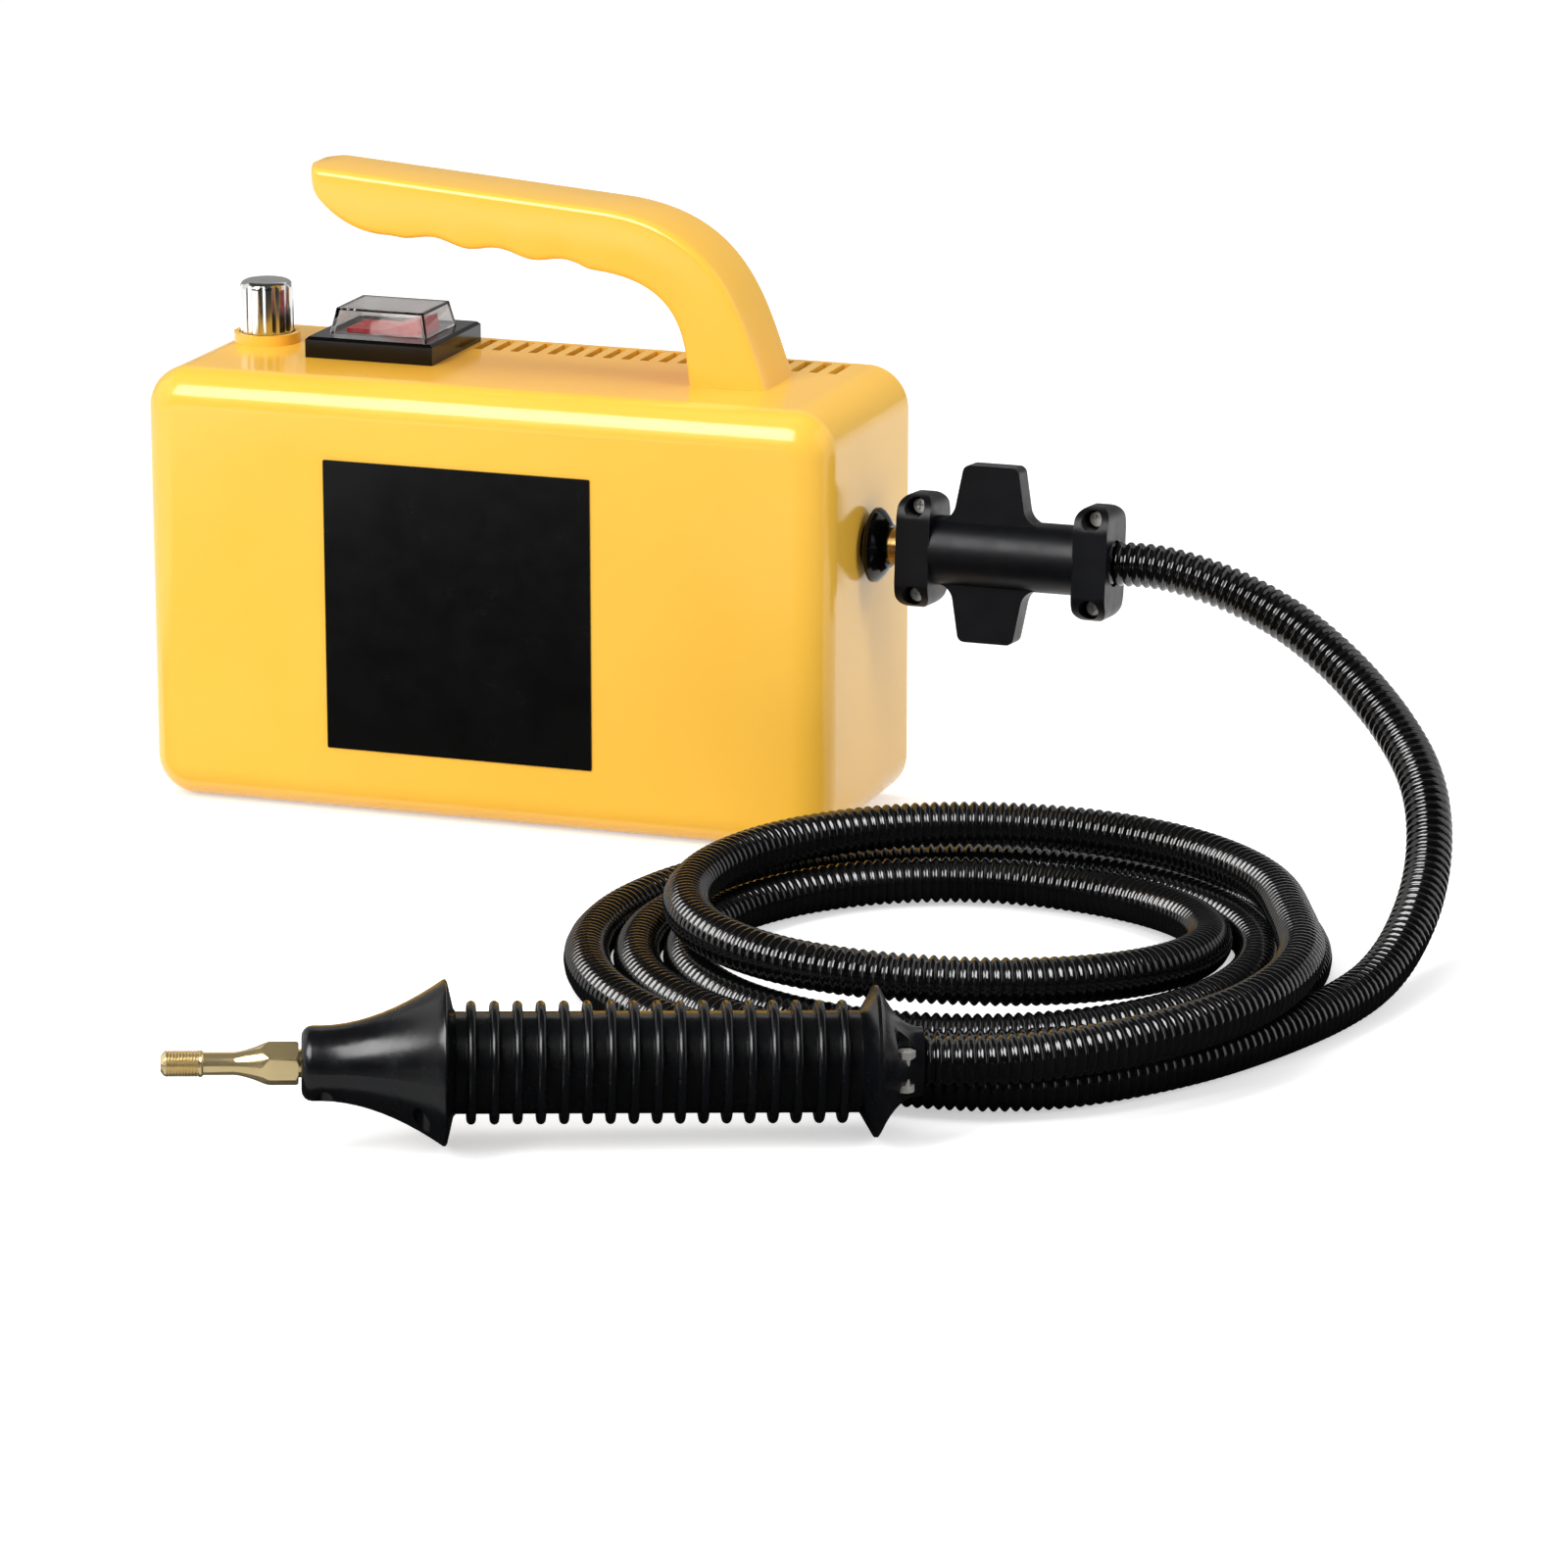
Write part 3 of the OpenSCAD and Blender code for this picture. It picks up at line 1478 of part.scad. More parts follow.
// The whole clamp-on coupling with its inner spaces, before it is split
module coupling_block() {
  difference() {
    union() {
      outlet_hole(barrel_r, clamp_x0 + clamp_l - cut, clamp_x1 - clamp_l + cut);
      for (x = [clamp_x0 + clamp_l / 2, clamp_x1 - clamp_l / 2])
        translate([x, 0, outlet_z]) clamp_block();
      translate([wing_x, 0, outlet_z])
        rotate([90, 0, 0]) linear_extrude(wing_t, center = true) wing_outline();
    }
    outlet_hole(thread_r + 0.5, clamp_x0 - cut, union_x0);
    translate([union_x0 - 0.1, 0, outlet_z]) along_x() hex_bar(union_af + 0.2, union_l + 0.2);
    outlet_hole(stem_r + 0.5, union_x0, tail_flange_x);
    outlet_hole(hose_seat_r, tail_flange_x - loose_fit, clamp_x1 + cut);
    for (x = [clamp_x0 + clamp_l / 2, clamp_x1 - clamp_l / 2], s = [-1, 1])
      translate([x, 0, outlet_z + s * clamp_screw_dz]) {
        translate([0, -barrel_d, 0]) along_y() cylinder(r = 3.3, h = barrel_d + clamp_head_y);
        translate([0, clamp_head_y - cut, 0]) along_y() cylinder(r = 1.6, h = cut - clamp_head_y);
        along_y() cylinder(r = 1.45, h = clamp_head_y + clamp_screw_l + 0.2);
      }
  }
}

// Keeps what lies in front of (s = -1) or behind (s = 1) the parting plane
module half_space(s) {
  translate([clamp_x0 - 5, s < 0 ? -60 : 0, outlet_z - 60]) cube([clamp_span + 10, 60, 120]);
}

module coupling_front_half() {
  color(black)
    tightened() intersection() {
      coupling_block();
      half_space(-1);
    }
}

module coupling_rear_half() {
  color(black)
    tightened() intersection() {
      coupling_block();
      half_space(1);
    }
}

module coupling_screws() {
  color(steel)
    tightened()
      for (x = [clamp_x0 + clamp_l / 2, clamp_x1 - clamp_l / 2], s = [-1, 1])
        translate([x, clamp_head_y, outlet_z + s * clamp_screw_dz])
          along_y() screw(1.4, clamp_screw_l, 2.4, 2);
}

// ---------------------------------------------------------------- the hose

module hose_lead() {
  color(black) ribbed_tube(lead_path, lead_len);
}

module hose_coil() {
  color(black) ribbed_tube(coil_path, coil_len);
}

module hose_end_run() {
  color(black) ribbed_tube(end_path, end_len);
}

// ---------------------------------------------------------------- the wand

// In the wand's own frame +X runs along its axis from the front rim to the
// hose, +Z is up and the parting plane is z = 0
module wand_place() {
  translate(wand_at) rotate([0, 0, wand_turn]) rotate([0, wand_droop, 0]) children();
}

// A revolved piece along the wand's axis: points are [u, radius]
module wand_turned() {
  rotate([0, 90, 0]) rotate_extrude() children();
}

module wand_hole(r, u0, u1) {
  translate([u0, 0, 0]) along_x() cylinder(r = r, h = u1 - u0);
}

function flare_radius(u) =
  nose_r + (front_rim_d / 2 - nose_r) * pow(max(0, (u + flare_l) / (flare_l + flare_end)), flare_power);

// Half outline of the grip: [radius, u] pairs from the nose to the hose
module wand_outline() {
  nose_round = 3;
  flare_steps = 10;
  cone_steps = 8;
  cone_u = rim_span + 1.4;
  cone_r = rear_rim_d / 2 - 1;
  polygon(concat(
    [[0, -nose_l]],
    [
      for (a = [0 : 22.5 : 90])
        [nose_r - nose_round + nose_round * sin(a), -nose_l + nose_round - nose_round * cos(a)]
    ],
    [
      for (k = [0 : flare_steps])
        let (u = -flare_l + (flare_l + flare_end) * k / flare_steps)
        [flare_radius(u), u]
    ],
    [
      [front_rim_d / 2, flare_end + 0.7], [front_rim_d / 2 - 0.8, flare_end + 1.2],
      [core_r + 0.8, flare_end + 2.9], [core_r, flare_end + 3.6]
    ],
    [
      [core_r, rim_span - 4.5], [rear_rim_d / 2 - 0.7, rim_span - 0.8], [rear_rim_d / 2, rim_span - 0.3],
      [rear_rim_d / 2, rim_span + 0.7]
    ],
    [
      for (k = [0 : cone_steps])
        let (t = k / cone_steps)
        [
          cone_end_r + (cone_r - cone_end_r) * pow(1 - t, 2.3),
          cone_u + (wand_end - cone_u) * t
        ]
    ],
    [[0, wand_end]]
  ));
  for (i = [0 : grip_ribs - 1])
    translate([0, first_rib + i * grip_pitch]) {
      translate([core_r - 1, -rib_half]) square([grip_rib_d / 2 - rib_half - core_r + 1, 2 * rib_half]);
      translate([grip_rib_d / 2 - rib_half, 0]) circle(r = rib_half, $fn = 24);
    }
}

// The whole grip with its inner spaces, before it is split
module wand_block() {
  web_t = 3;
  cavity_u0 = 3;
  cavity_u1 = rim_span - 7;
  difference() {
    wand_turned() wand_outline();
    for (k = [0 : 2])
      let (
        l = (cavity_u1 - cavity_u0 - 2 * web_t) / 3,
        u = cavity_u0 + k * (l + web_t)
      )
      wand_hole(core_r - grip_wall, u, u + l);
    wand_hole(wand_tube_r + run_fit, -nose_l - cut, wand_flange_u);
    translate([tube_hex_u - 0.1, 0, 0]) along_x() hex_bar(tube_hex_af + 0.2, tube_hex_l + 0.2);
    wand_hole(hose_d / 2 + 0.35, wand_flange_u - 0.1, wand_end + cut);
    for (p = [nose_screw, flare_screw, rear_screw], s = [-1, 1])
      translate([p.x, s * p.y, 0]) {
        translate([0, 0, -front_rim_d]) cylinder(r = wand_head_r + 0.3, h = front_rim_d + p.z);
        cylinder_through(wand_screw_r + run_fit, p.z - cut, -p.z + 3);
      }
    for (s = [-1, 1])
      translate([rear_screw.x, s * rear_screw.y, wand_nut_z]) cylinder(r = 3.2, h = front_rim_d);
  }
}

module wand_upper_half() {
  color(dark)
    wand_place() intersection() {
      wand_block();
      translate([-nose_l - 10, -40, 0]) cube([wand_end + nose_l + 20, 80, 40]);
    }
}

module wand_lower_half() {
  color(dark)
    wand_place() intersection() {
      wand_block();
      translate([-nose_l - 10, -40, -40]) cube([wand_end + nose_l + 20, 80, 40]);
    }
}

module wand_screws() {
  color(steel)
    wand_place() {
      for (p = [nose_screw, flare_screw], s = [-1, 1])
        translate([p.x, s * p.y, p.z]) screw(wand_screw_r, -2 * p.z + 2.5, wand_head_r, wand_head_t);
      for (s = [-1, 1])
        translate([rear_screw.x, s * rear_screw.y, rear_screw.z])
          screw(wand_screw_r, wand_nut_z + wand_nut_t + 0.3 - rear_screw.z, wand_head_r, wand_head_t);
    }
}

module wand_nuts() {
  color(steel)
    wand_place()
      for (s = [-1, 1])
        translate([rear_screw.x, s * rear_screw.y, wand_nut_z])
          difference() {
            hex_bar(wand_nut_af, wand_nut_t);
            cylinder_through(wand_screw_r + run_fit, -cut, wand_nut_t + cut);
          }
}

module wand_tube() {
  color(brass)
    wand_place()
      difference() {
        union() {
          wand_hole(wand_tube_r, tube_thread_u, wand_flange_u + cut);
          translate([tube_hex_u, 0, 0]) along_x() hex_bar(tube_hex_af, tube_hex_l);
          wand_hole(tail_flange_r, wand_flange_u, wand_hose_u);
          wand_hole(barb_r, wand_hose_u - cut, wand_hose_u + barb_l - 3);
        }
        wand_hole(fitting_bore_r, tube_thread_u - cut, wand_hose_u + barb_l);
      }
}

// The nozzle: a hexagon that runs into a hollow cone, a slim stem and a
// threaded tip
module nozzle() {
  tip_u = -nose_l - nozzle_l;
  tip_r = nozzle_tip_d / 2;
  slim_r = tip_r - 0.6;
  thread_l = 11.5;
  cone_u = nozzle_u - 8.2;
  cone_l = 10;
  cone_steps = 6;
  corner = nozzle_af / 2 / cos(30);
  color(brass)
    wand_place()
      difference() {
        union() {
          intersection() {
            translate([cone_u - cone_l, 0, 0]) along_x() hex_bar(nozzle_af, cone_l - cone_u + nozzle_u);
            wand_turned()
              polygon(concat(
                [[0, cone_u - cone_l]],
                [
                  for (k = [0 : cone_steps])
                    let (t = k / cone_steps)
                    [slim_r + (corner - slim_r) * pow(t, 1.5), cone_u - cone_l * (1 - t)]
                ],
                [[corner, nozzle_u - 0.6], [corner - 0.6, nozzle_u], [0, nozzle_u]]
              ));
          }
          wand_hole(slim_r, tip_u + thread_l - 1, cone_u - cone_l + cut);
          wand_turned()
            polygon([
              [0, tip_u], [tip_r - 1.6, tip_u], [tip_r - 0.5, tip_u + 0.6], [tip_r, tip_u + 1.8],
              [tip_r, tip_u + thread_l], [0, tip_u + thread_l]
            ]);
        }
        wand_hole(nozzle_bore_d / 2, tip_u - cut, nozzle_u);
        wand_hole(wand_tube_r + run_fit, tube_thread_u - 0.5, nozzle_u + cut);
      }
}

front_shell();
rear_cover();
cover_screws();
label_plate();
handle();
handle_screws();
switch_frame();
switch_body();
switch_terminals();
switch_rocker();
switch_hood();
control_knob();
control_shaft();
control_body();
control_nut();
control_board();
board_parts();
boiler();
heater_terminals();
boiler_bracket();
bracket_screws();
thermostat();
thermal_fuse();
pump_body();
pump_cap();
pump_coil();
pump_yoke();
pump_bracket();
pump_plunger();
pump_spring();
water_inlet();
inlet_nut();
cable_gland();
gland_nut();
suction_tube();
feed_tube();
steam_tube();
wiring();
outlet_fitting();
outlet_collar();
seal_washer();
union_nut();
coupling_front_half();
coupling_rear_half();
coupling_screws();
hose_tail();
hose_lead();
hose_coil();
hose_end_run();
wand_upper_half();
wand_lower_half();
wand_screws();
wand_nuts();
wand_tube();
nozzle();
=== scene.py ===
# %% [markdown]
# # A portable steamer, dressed
#
# The model is a yellow moulded case with a carrying handle, a chrome knob, a
# hooded rocker switch and a black screw coupling. A ribbed hose runs from the
# coupling into a loose coil and on to a ribbed wand with a brass nozzle.
#
# The solids of every part come ready made. This file gives each one its
# finish, replaces the few whose real surface is finer than the solid, and
# sets the light and the camera. All lengths are in metres; the short name MM
# turns a size in millimetres into one.

# %% Start: load the solids
import math

import bmesh
import bpy
import numpy as np
from mathutils import Matrix, Vector


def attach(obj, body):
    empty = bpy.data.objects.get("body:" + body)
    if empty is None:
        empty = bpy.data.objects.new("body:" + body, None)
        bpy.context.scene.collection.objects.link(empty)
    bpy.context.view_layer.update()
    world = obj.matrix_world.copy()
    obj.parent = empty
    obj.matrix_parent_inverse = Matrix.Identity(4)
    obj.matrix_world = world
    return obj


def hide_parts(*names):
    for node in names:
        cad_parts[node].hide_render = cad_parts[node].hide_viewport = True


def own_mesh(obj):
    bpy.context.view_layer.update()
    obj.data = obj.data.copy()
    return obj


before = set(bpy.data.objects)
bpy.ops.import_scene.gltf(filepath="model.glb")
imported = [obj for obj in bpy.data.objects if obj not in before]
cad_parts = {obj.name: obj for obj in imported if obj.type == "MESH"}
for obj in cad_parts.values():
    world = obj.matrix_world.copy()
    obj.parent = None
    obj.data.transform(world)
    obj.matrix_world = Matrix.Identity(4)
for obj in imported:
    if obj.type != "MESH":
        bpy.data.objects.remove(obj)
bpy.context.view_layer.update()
MM = 0.001

# %% [markdown]
# ## The camera
#
# A product picture like this is taken with a long lens from a few metres off,
# so that the case's edges stay almost parallel. The camera is made first.
# Three directions place the camera: back points from the object to the
# camera, right and up span the frame.

# %% Camera
CAMERA_AT = (0.7866, -2.0160, 0.5955)
LENS_MM, SENSOR_MM = 153.08, 36
back = np.array([0.31452, -0.91184, 0.26387])
back /= np.linalg.norm(back)
right = np.cross([0, 0, 1], back)
right /= np.linalg.norm(right)
up = np.cross(back, right)
camera_data = bpy.data.cameras.new("camera")
camera_data.sensor_width, camera_data.lens = SENSOR_MM, LENS_MM
camera_data.clip_start, camera_data.clip_end = 0.05, 50
camera = bpy.data.objects.new("camera", camera_data)
bpy.context.scene.collection.objects.link(camera)
turn = Matrix(np.stack([right, up, back], axis=1).tolist()).to_4x4()
camera.matrix_world = Matrix.Translation(CAMERA_AT) @ turn
bpy.context.scene.camera = camera
bpy.context.scene.view_settings.view_transform = "Standard"
print("camera at, m:", CAMERA_AT, "lens, mm:", LENS_MM)

# %% [markdown]
# ## From a grid of points to a mesh
#
# Every new piece here is a surface worked out as a grid: rows run along it
# and columns run round it. One function turns such a grid into a mesh. Each
# cell of the grid becomes one four-sided face, and a ring of columns closes on
# itself. Rows that shrink to one point or run back inside close the ends.
# Points that fall together are joined into one, and the faces are then turned
# to look outwards.

# %% Faces of a grid
def grid_faces(rows, cols, closed=False):
    """Faces of a grid whose columns run round and close; with closed, the last
    row joins the first. Face (i, j) has the corners (i, j), (i, j+1),
    (i+1, j+1) and (i+1, j)."""
    last = rows if closed else rows - 1
    i = np.repeat(np.arange(last), cols)
    j = np.tile(np.arange(cols), last)
    ahead, beside = (i + 1) % rows, (j + 1) % cols
    return np.stack([i * cols + j, i * cols + beside, ahead * cols + beside, ahead * cols + j], 1)


# %% Grid to mesh
MERGE = 1e-7


def mesh_from(name, points, faces, smooth=True):
    """Makes one object at the origin from points (n, 3) and faces (m, k)."""
    mesh = bpy.data.meshes.new(name)
    count, sides = faces.shape
    mesh.vertices.add(len(points))
    mesh.vertices.foreach_set("co", np.asarray(points, np.float32).ravel())
    mesh.loops.add(count * sides)
    mesh.loops.foreach_set("vertex_index", faces.astype(np.int32).ravel())
    mesh.polygons.add(count)
    mesh.polygons.foreach_set("loop_start", np.arange(0, count * sides, sides, dtype=np.int32))
    mesh.polygons.foreach_set("use_smooth", np.full(count, smooth))
    mesh.update(calc_edges=True)
    shape = bmesh.new()
    shape.from_mesh(mesh)
    bmesh.ops.remove_doubles(shape, verts=shape.verts, dist=MERGE)
    bmesh.ops.recalc_face_normals(shape, faces=shape.faces)
    shape.to_mesh(mesh)
    shape.free()
    mesh.validate()
    piece = bpy.data.objects.new(name, mesh)
    bpy.context.scene.collection.objects.link(piece)
    print(name, "faces:", count)
    return piece


# %% [markdown]
# ## The route of the hose
#
# The steam hose is one length of corrugated nylon tube. It is stiff enough to
# hold an arch where it leaves the coupling, then lies on the floor in a loose
# coil of nearly four turns and ends inside the wand. The route is the one that
# the solids follow, so its points are repeated here: a smooth line through
# chosen points for the arch and for the end, and a spiral with a rise to its
# second layer for the coil between them. Sizes here are in millimetres.

# %% Sizes of the hose and of its ends
HOSE_D = 14.5
COIL_CENTRE = np.array([200.0, -150.0])
COIL_START, COIL_TURNS = -112, 3.636
COIL_R0, COIL_PITCH, COIL_LAYER = 116.3, HOSE_D + 0.7, HOSE_D + 0.6
TURNBACK, OUT_PITCH, ROUND = 2.8, 30.4, 0.12
CLIMB = (2.45, 2.97)
HOSE_X0, CLAMP_X1, OUTLET_Z = 180.0, 204.4, 96.0
FLOOR_Z = HOSE_D / 2
WAND_AT = np.array([112.8, -352, 23.58])
WAND_TURN, WAND_DROOP = math.radians(22.7), math.asin(2 / 120.4)
WAND_DIR = np.array([
    math.cos(WAND_TURN) * math.cos(WAND_DROOP),
    math.sin(WAND_TURN) * math.cos(WAND_DROOP),
    -math.sin(WAND_DROOP),
])
WAND_END, WAND_HOSE_U = 133.8, 118.0
print("hose, mm across:", HOSE_D, "turns of the coil:", COIL_TURNS)

# %% [markdown]
# ### The coil
#
# A hose that is laid down by hand winds inwards, climbs on its own first layer
# and comes out again over it. It could be drawn as a curve, point by point. A
# formula is shorter, and it keeps the turns just clear of each other: the
# radius and the height both depend on how many turns have been laid. So the
# places TURNBACK and CLIMB are counted in turns too.

# %% Points of the coil
def coil_points(n):
    """Points of the coil after n turns: the radius falls by one pitch a turn
    and grows again after the turn-back; the height eases up one layer."""
    n = np.atleast_1d(np.asarray(n, float))
    x = n - TURNBACK
    rise = COIL_PITCH + OUT_PITCH
    bend = np.where(x > ROUND, rise * x, rise * (x + ROUND) ** 2 / (4 * ROUND))
    radius = COIL_R0 - COIL_PITCH * n + np.where(x < -ROUND, 0, bend)
    t = np.clip((n - CLIMB[0]) / (CLIMB[1] - CLIMB[0]), 0, 1)
    angle = np.radians(COIL_START - 360 * n)
    height = FLOOR_Z + COIL_LAYER * t * t * (3 - 2 * t)
    return np.stack([
        COIL_CENTRE[0] + radius * np.cos(angle), COIL_CENTRE[1] + radius * np.sin(angle), height,
    ], 1)


# %% [markdown]
# ### Lines through chosen points
#
# Where the hose hangs free, a hand has placed it, and a few chosen points say
# it best. The line between them has to bend softly, as a stiff tube does. The
# curve used here passes through every point and keeps its direction there.

# %% Smooth lines
def smooth_line(p, steps=8):
    """A curve through the points p: on each stretch from b to c, with its
    neighbours a and d, half of 2b + (c-a)t + (2a-5b+4c-d)t2 + (3b-a-3c+d)t3."""
    p = np.asarray(p, float)
    p = np.vstack([2 * p[0] - p[1], p, 2 * p[-1] - p[-2]])
    a, b, c, d = (p[k : len(p) - 3 + k, None] for k in range(4))
    t = (np.arange(steps) / steps)[None, :, None]
    q = 0.5 * (2 * b + (c - a) * t + (2 * a - 5 * b + 4 * c - d) * t**2
               + (3 * b - a - 3 * c + d) * t**3)
    return np.vstack([q.reshape(-1, 3), p[-2]])


def along(p, count):
    """The same line with count points at even distances, and its length."""
    s = np.concatenate([[0], np.cumsum(np.linalg.norm(np.diff(p, axis=0), axis=1))])
    w = np.linspace(0, s[-1], count)
    return np.stack([np.interp(w, s, p[:, k]) for k in range(3)], 1), s[-1]


def direction(a, b):
    """Unit vector from a to b."""
    return (b - a) / np.linalg.norm(b - a)


# %% Route from the coupling to the wand
ROUTE_POINTS, COIL_POINTS, SMALL_TURN = 2881, 241, 0.002
coil_in_dir = direction(*coil_points([0, SMALL_TURN]))
coil_out_dir = direction(*coil_points([COIL_TURNS - SMALL_TURN, COIL_TURNS]))
coil_in = coil_points(0)[0] - HOSE_D * coil_in_dir
coil_out = coil_points(COIL_TURNS)[0] + HOSE_D * coil_out_dir
lead = smooth_line(np.vstack([
    [[HOSE_X0, 0, OUTLET_Z], [CLAMP_X1, 0, OUTLET_Z], [CLAMP_X1 + HOSE_D, 0, OUTLET_Z]],
    [[235, -0.5, 93], [251, -2, 88], [268, -8, 81.5], [285, -17, 72.5], [300, -29, 63.5],
     [311, -41, 56], [319, -53, 50], [325, -65, 42.5], [329, -78, 33.5], [331, -92, 25],
     [331.5, -108, 18], [330.5, -126, 12], [328, -145, 8.5], [323.5, -165, FLOOR_Z],
     [317.5, -186, FLOOR_Z], [308.5, -209, FLOOR_Z], [297, -231, FLOOR_Z],
     [281, -252.5, FLOOR_Z], [263, -268.5, FLOOR_Z], [240, -277, FLOOR_Z],
     [211, -278, FLOOR_Z]],
    [coil_in - HOSE_D * coil_in_dir, coil_in],
]))
end_run = smooth_line(np.vstack([
    [coil_out, coil_out + HOSE_D * coil_out_dir],
    [[312, -167, 22.4], [314.5, -192, 22.4], [311.5, -218, 22.4], [303, -242, 22.3],
     [289, -264, 22], [273, -280.5, 21.5]],
    [WAND_AT + u * WAND_DIR for u in (WAND_END + 20, WAND_END, WAND_HOSE_U)],
]))
coil = coil_points(np.linspace(0, COIL_TURNS, COIL_POINTS))
hose_line = np.vstack([lead, coil, end_run])
hose_fine, hose_length = along(hose_line, ROUTE_POINTS)
print("hose length, mm:", round(hose_length, 1))

# %% [markdown]
# ## The ribbed hose
#
# Corrugated tube is blown in a chain of moulds, so it is a row of equal rings:
# a crest, a flank, a groove. It could be made with an array modifier on a
# curve, but then its seams and its length are hard to keep. Here each ring of
# points is placed on the route directly. A crest comes every 3.1 mm, which is
# about 930 of them, and five rings of points make one crest and its groove.
# The wall turns inwards at both ends and runs back as the smooth bore.

# %% Rings on a line
def softened(p, reach):
    """Each point becomes the mean of its neighbours, reach on either side; the
    ends keep their place and direction."""
    ahead = 2 * p[-1] - p[-1 - reach : -1][::-1]
    before = 2 * p[0] - p[1 : reach + 1][::-1]
    sums = np.cumsum(np.vstack([np.zeros(3), before, p, ahead]), axis=0)
    return (sums[2 * reach + 1 :] - sums[: -2 * reach - 1]) / (2 * reach + 1)


def rings_on(line, radius, sides):
    """Circles round a line: each point plus radius times (cos a side + sin a
    over), where side is level and over is square to side and to the line."""
    ahead = np.gradient(line, axis=0)
    ahead /= np.linalg.norm(ahead, axis=1)[:, None]
    side = np.cross(ahead, [0, 0, 1])
    side /= np.linalg.norm(side, axis=1)[:, None]
    over = np.cross(side, ahead)
    a = np.linspace(0, 2 * np.pi, sides, endpoint=False)
    spread = np.cos(a)[None, :, None] * side[:, None] + np.sin(a)[None, :, None] * over[:, None]
    return line[:, None] + np.reshape(radius, (-1, 1, 1)) * spread


# %% Ribbed hose
RIB_PITCH, RIB_R, GROOVE_R, BORE_R = 3.1, 7.25, 5.95, 5.5
RIB_SHAPE = np.array([0.0, 0.6, 1.0, 1.0, 0.6])
HOSE_SIDES, BORE_RINGS, SOFT_REACH = 20, 180, 6
hose_axis = softened(hose_fine, SOFT_REACH)
rib_count = round(hose_length / RIB_PITCH)
outer_line, _ = along(hose_axis, rib_count * len(RIB_SHAPE) + 1)
rib_height = GROOVE_R + (RIB_R - GROOVE_R) * np.resize(RIB_SHAPE, len(outer_line))
outer = rings_on(outer_line, rib_height, HOSE_SIDES)
bore = rings_on(along(hose_axis, BORE_RINGS)[0], BORE_R, HOSE_SIDES)[::-1]
hose_grid = np.vstack([outer, bore])
hose_faces = grid_faces(len(hose_grid), HOSE_SIDES, closed=True)
hose = mesh_from("steam_hose", hose_grid.reshape(-1, 3) * MM, hose_faces)
print("ribs:", rib_count)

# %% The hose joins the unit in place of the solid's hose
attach(hose, "unit")
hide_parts("hose_lead", "hose_coil", "hose_end_run")

# %% [markdown]
# ## The carrying handle
#
# The handle is one moulding with a soft-edged oblong section. It could be a
# box that is bent and smoothed, but its finger hollows and its long bend are
# easier to hold to their sizes as formulas. Seen from the side it is drawn by
# two edges that share one parameter: 0 where the tip begins, 1 where the grip
# starts to bend down and 2 at the foot. The pulls say how far the bend keeps
# the direction of the grip and of the foot. The finger hollows run along the
# lower edge, and the tip closes in a flattened ellipse. The solid has the same
# form in flat facets; here the rings are close enough for an even highlight.

# %% Handle sizes
CASE_H, FOOT_X0, FOOT_X1, HANDLE_Y = 146.5, 61.2, 88.0, 5.2
GRIP_X0, GRIP_X1, GRIP_W, GRIP_R = FOOT_X0 - 106.2, FOOT_X0 - 31.2, 30.0, 2.5
GRIP_TOP = np.array([CASE_H + 62.45, CASE_H + 56.7])
GRIP_UNDER = np.array([CASE_H + 43.2, CASE_H + 35.85])
TIP_X, TIP_Z, TIP_ROUND, TIP_TOP_R, TIP_POWER = GRIP_X0 - 29.2, CASE_H + 64.5, 6.0, 0.8, 1.3
FINGER_PITCH, FINGER_DEPTH, FINGER_FROM_FOOT = 23.0, 1.9, 66.2
FINGER_FADE_IN, FINGER_FADE_OUT = 0.12, 0.1
UNDER_PULLS, UNDER_FOOT_SLOPE = (31, 12), (-1.2, 9)
TOP_PULLS, TOP_FOOT_SLOPE = (44, 25), (-2.3, 6.2)
print("grip, mm from x", GRIP_X0, "to", GRIP_X1, "and tip at", round(TIP_X, 1))


# %% Handle curves
def ease(t):
    """Smooth step: 3 t squared less 2 t cubed, with t kept between 0 and 1."""
    t = np.clip(t, 0, 1)
    return t * t * (3 - 2 * t)


def arc_points(a, b, c, d, t):
    """Cubic arc from a to d that leaves a towards b and comes to d from c:
    s3 a + 3 s2 t b + 3 s t2 c + t3 d, with s = 1 - t."""
    t = t[:, None]
    s = 1 - t
    return s**3 * a + 3 * s * s * t * b + 3 * s * t * t * c + t**3 * d


def fall(x, reach):
    """Quarter ellipse: 0 at the tip, 1 once reach has been covered."""
    t = np.clip((TIP_X + reach - x) / reach, 0, 1)
    return np.sqrt(1 - t * t)


# %% Edges of the handle
def edge_points(t, height, wave, pulls, foot, foot_slope):
    """One edge of the side view as x and z: a straight grip with a wave on it
    for t up to 1, then an arc down to the foot."""
    x = GRIP_X0 + (GRIP_X1 - GRIP_X0) * t
    grip = np.stack([x, height[0] + (height[1] - height[0]) * t + wave(x, t)], 1)
    bend_from = np.array([GRIP_X1, height[1]])
    slope = direction(np.array([GRIP_X0, height[0]]), bend_from)
    rise = np.array(foot_slope) / np.linalg.norm(foot_slope)
    bend = arc_points(bend_from, bend_from + pulls[0] * slope, foot + pulls[1] * rise, foot,
                      np.clip(t - 1, 0, 1))
    return np.where(t[:, None] <= 1, grip, bend)


def fingers(x, t):
    """Depth of the finger hollows: a cosine wave that fades at both ends."""
    turns = (x - FOOT_X0 + FINGER_FROM_FOOT) / FINGER_PITCH
    hollow = FINGER_DEPTH / 2 * (1 + np.cos(2 * np.pi * turns))
    return hollow * ease(t / FINGER_FADE_IN) * ease((1 - t) / FINGER_FADE_OUT)


def plain(x, t):
    """No wave at all, for the upper edge."""
    return 0 * x


